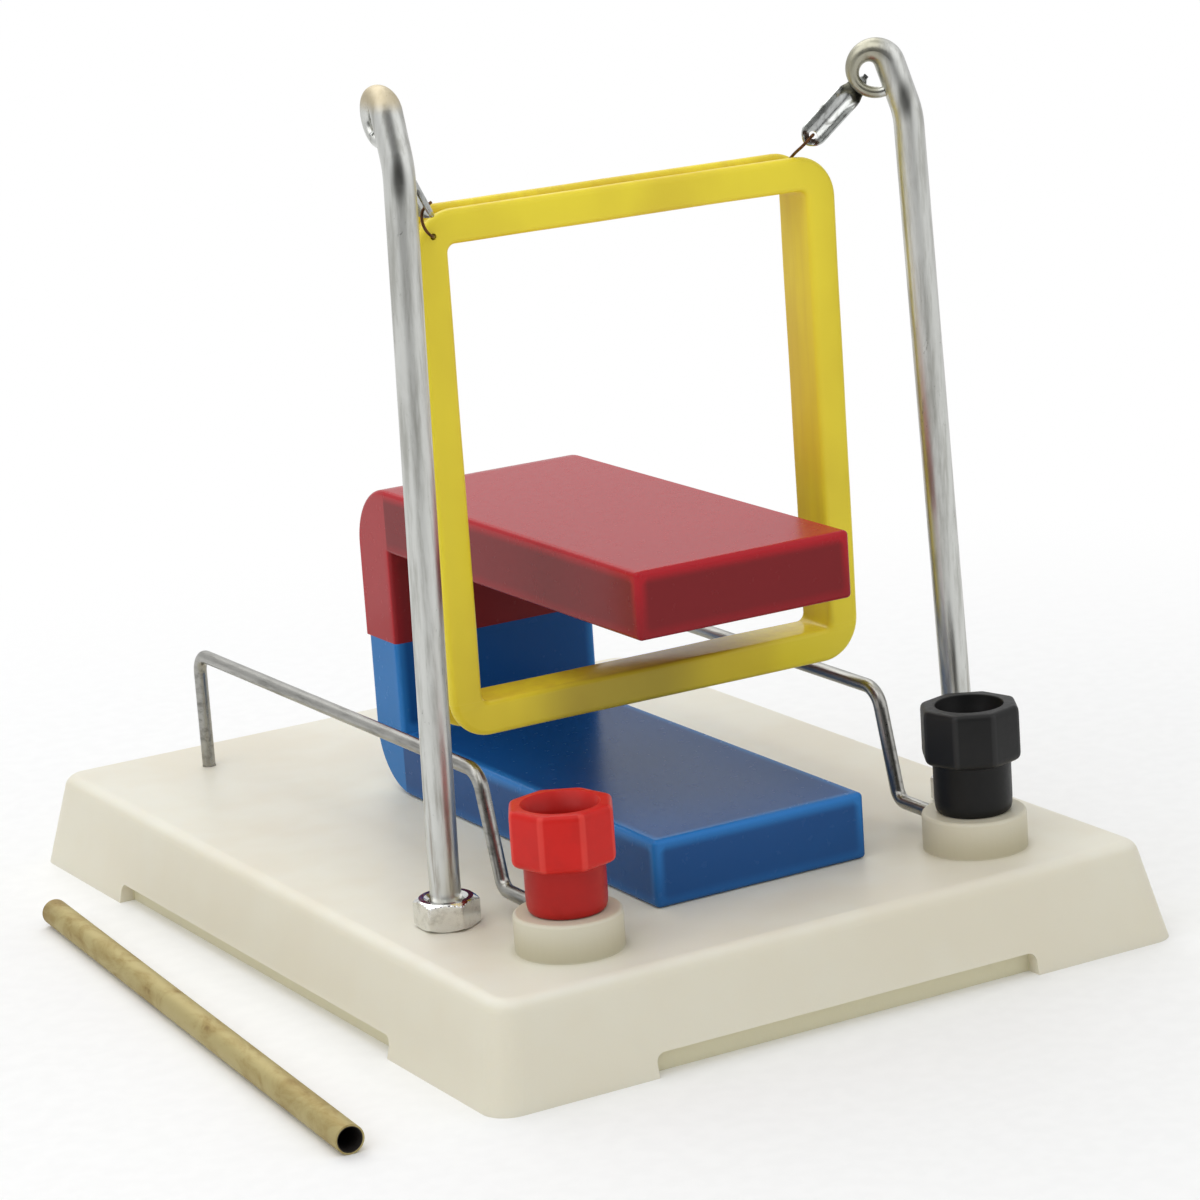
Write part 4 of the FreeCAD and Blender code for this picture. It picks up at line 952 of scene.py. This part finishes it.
studio = {
    "floor": paint(246, 246, 245),
    "floorGrain": paint(248, 248, 247),
    "floorHalf": 6.0,
    "floorGloss": 0.5,
    # distance from the part, in millimetres, over which the floor runs into the white background
    "floorEnd": (115.0, 260.0),
    "worldColour": (0.97, 0.98, 1.0, 1),
    "worldLight": 0.54,
    "worldGloss": (0.5, 0.95),
    # place, size and power
    "lamps": {"key": ((-0.5, -0.2, 0.75), 1.0, 3.6), "fill": ((0.55, -0.62, 0.5), 0.9, 1.0),
              "back": ((0.1, 0.6, 0.9), 0.9, 4.0)},
    "aim": (0.0, -0.01, 0.05),
    "cardSpot": (-0.42, -0.75, 0.2),
    "cardHalf": 0.5,
}
white = (1, 1, 1, 1)


def turnTo(thing, spot):
    thing.location = spot
    thing.rotation_euler = (Vector(studio["aim"]) - Vector(spot)).to_track_quat("-Z", "Y").to_euler()


def makeFloor():
    shape = bmesh.new()
    bmesh.ops.create_grid(shape, x_segments=12, y_segments=12, size=studio["floorHalf"])
    mesh = bpy.data.meshes.new("floor")
    shape.to_mesh(mesh)
    shape.free()
    finish = Finish("paleFloor", {"Roughness": 0.9, "Specular IOR Level": 0.1})
    grainy = finish.grain(3.0, 2, 0.5)
    finish.wear(finish.blend(finish.fade(grainy, 0.3, 0.7), studio["floor"], studio["floorGrain"]))
    x, y, z = finish.axes()
    seen = finish.fade(away(x, y), *studio["floorEnd"]) * finish.backdropShare(studio["floorGloss"])
    glow = finish.node("Emission", {}, {"Color": white, "Strength": 1.0})
    lit = Value(finish, finish.shader.outputs[0])
    mixed = finish.node("MixShader", {}, {0: seen, 1: lit, 2: glow})
    finish.feed(finish.tree.nodes["Material Output"].inputs["Surface"], mixed)
    mesh.materials.append(finish.material)
    floor = addObject("floor", mesh)


def softBox(name, spot, size, power):
    lamp = bpy.data.lights.new(name, "AREA")
    lamp.shape = "SQUARE"
    lamp.size = size
    lamp.energy = power
    turnTo(addObject(name, lamp), spot)


def makeWorld():
    world = bpy.data.worlds.new("studio")
    bpy.context.scene.world = world
    world.use_nodes = True
    shading = Shading(world.node_tree)
    # reflections see a background that is brighter overhead
    height = shading.axis(shading.node("TexCoord", out="Generated"), 2)
    low, high = studio["worldGloss"]
    seen = shading.backdropShare(low + (high - low) * shading.fade(height, 0.1, 0.9))
    dim = shading.node("Background", {}, {"Color": studio["worldColour"], "Strength": studio["worldLight"]})
    bright = shading.node("Background", {}, {"Color": white, "Strength": 1.0})
    mixed = shading.node("MixShader", {}, {0: seen, 1: dim, 2: bright})
    shading.feed(shading.tree.nodes["World Output"].inputs["Surface"], mixed)


def makeCard():
    # a dark card beside the camera gives the bright metal its grey stripes; only reflections see it
    half = studio["cardHalf"]
    corners = [(-half, -half, 0), (half, -half, 0), (half, half, 0), (-half, half, 0)]
    mesh = bpy.data.meshes.new("card")
    mesh.from_pydata(corners, [], [(0, 1, 2, 3)])
    finish = Finish("darkCard", {"Specular IOR Level": 0.0})
    weave = finish.grain(8.0, 2, 0.5)
    finish.wear(finish.blend(finish.fade(weave, 0.3, 0.7), paint(40, 40, 40), paint(30, 30, 30)),
                finish.spread(weave, 0.8, 0.95))
    mesh.materials.append(finish.material)
    card = addObject("card", mesh)
    turnTo(card, studio["cardSpot"])
    card.visible_camera = False
    card.visible_diffuse = False
    card.visible_shadow = False
    card.visible_transmission = False


# worked out for a frame of 1200 by 1200 from the corners of the base
photoCamera = {
    "spot": (-0.27552, -0.5025, 0.18413),
    "azimuth": 29.399,
    "down": 13.633,
    "roll": -3.971,
    "lens": 120.1,
    "sensor": 36,
    "clip": (0.01, 50),
}


def makeCamera():
    azimuth, down, roll = (math.radians(photoCamera[key]) for key in ("azimuth", "down", "roll"))
    ahead = Vector((math.cos(down) * math.sin(azimuth), math.cos(down) * math.cos(azimuth), -math.sin(down)))
    level = Vector((math.cos(azimuth), -math.sin(azimuth), 0))
    upright = level.cross(ahead)
    right = level * math.cos(roll) + upright * math.sin(roll)
    up = upright * math.cos(roll) - level * math.sin(roll)
    lens = bpy.data.cameras.new("camera")
    lens.sensor_width = photoCamera["sensor"]
    lens.lens = photoCamera["lens"]
    lens.clip_start, lens.clip_end = photoCamera["clip"]
    camera = addObject("camera", lens)
    turned = Matrix((right, up, -ahead)).transposed().to_4x4()
    camera.matrix_world = Matrix.Translation(photoCamera["spot"]) @ turned
    bpy.context.scene.camera = camera


makeFloor()
makeWorld()
makeCard()
for name, look in studio["lamps"].items():
    softBox(name, *look)
makeCamera()
bpy.context.scene.view_settings.view_transform = "Standard"
print("studio made")
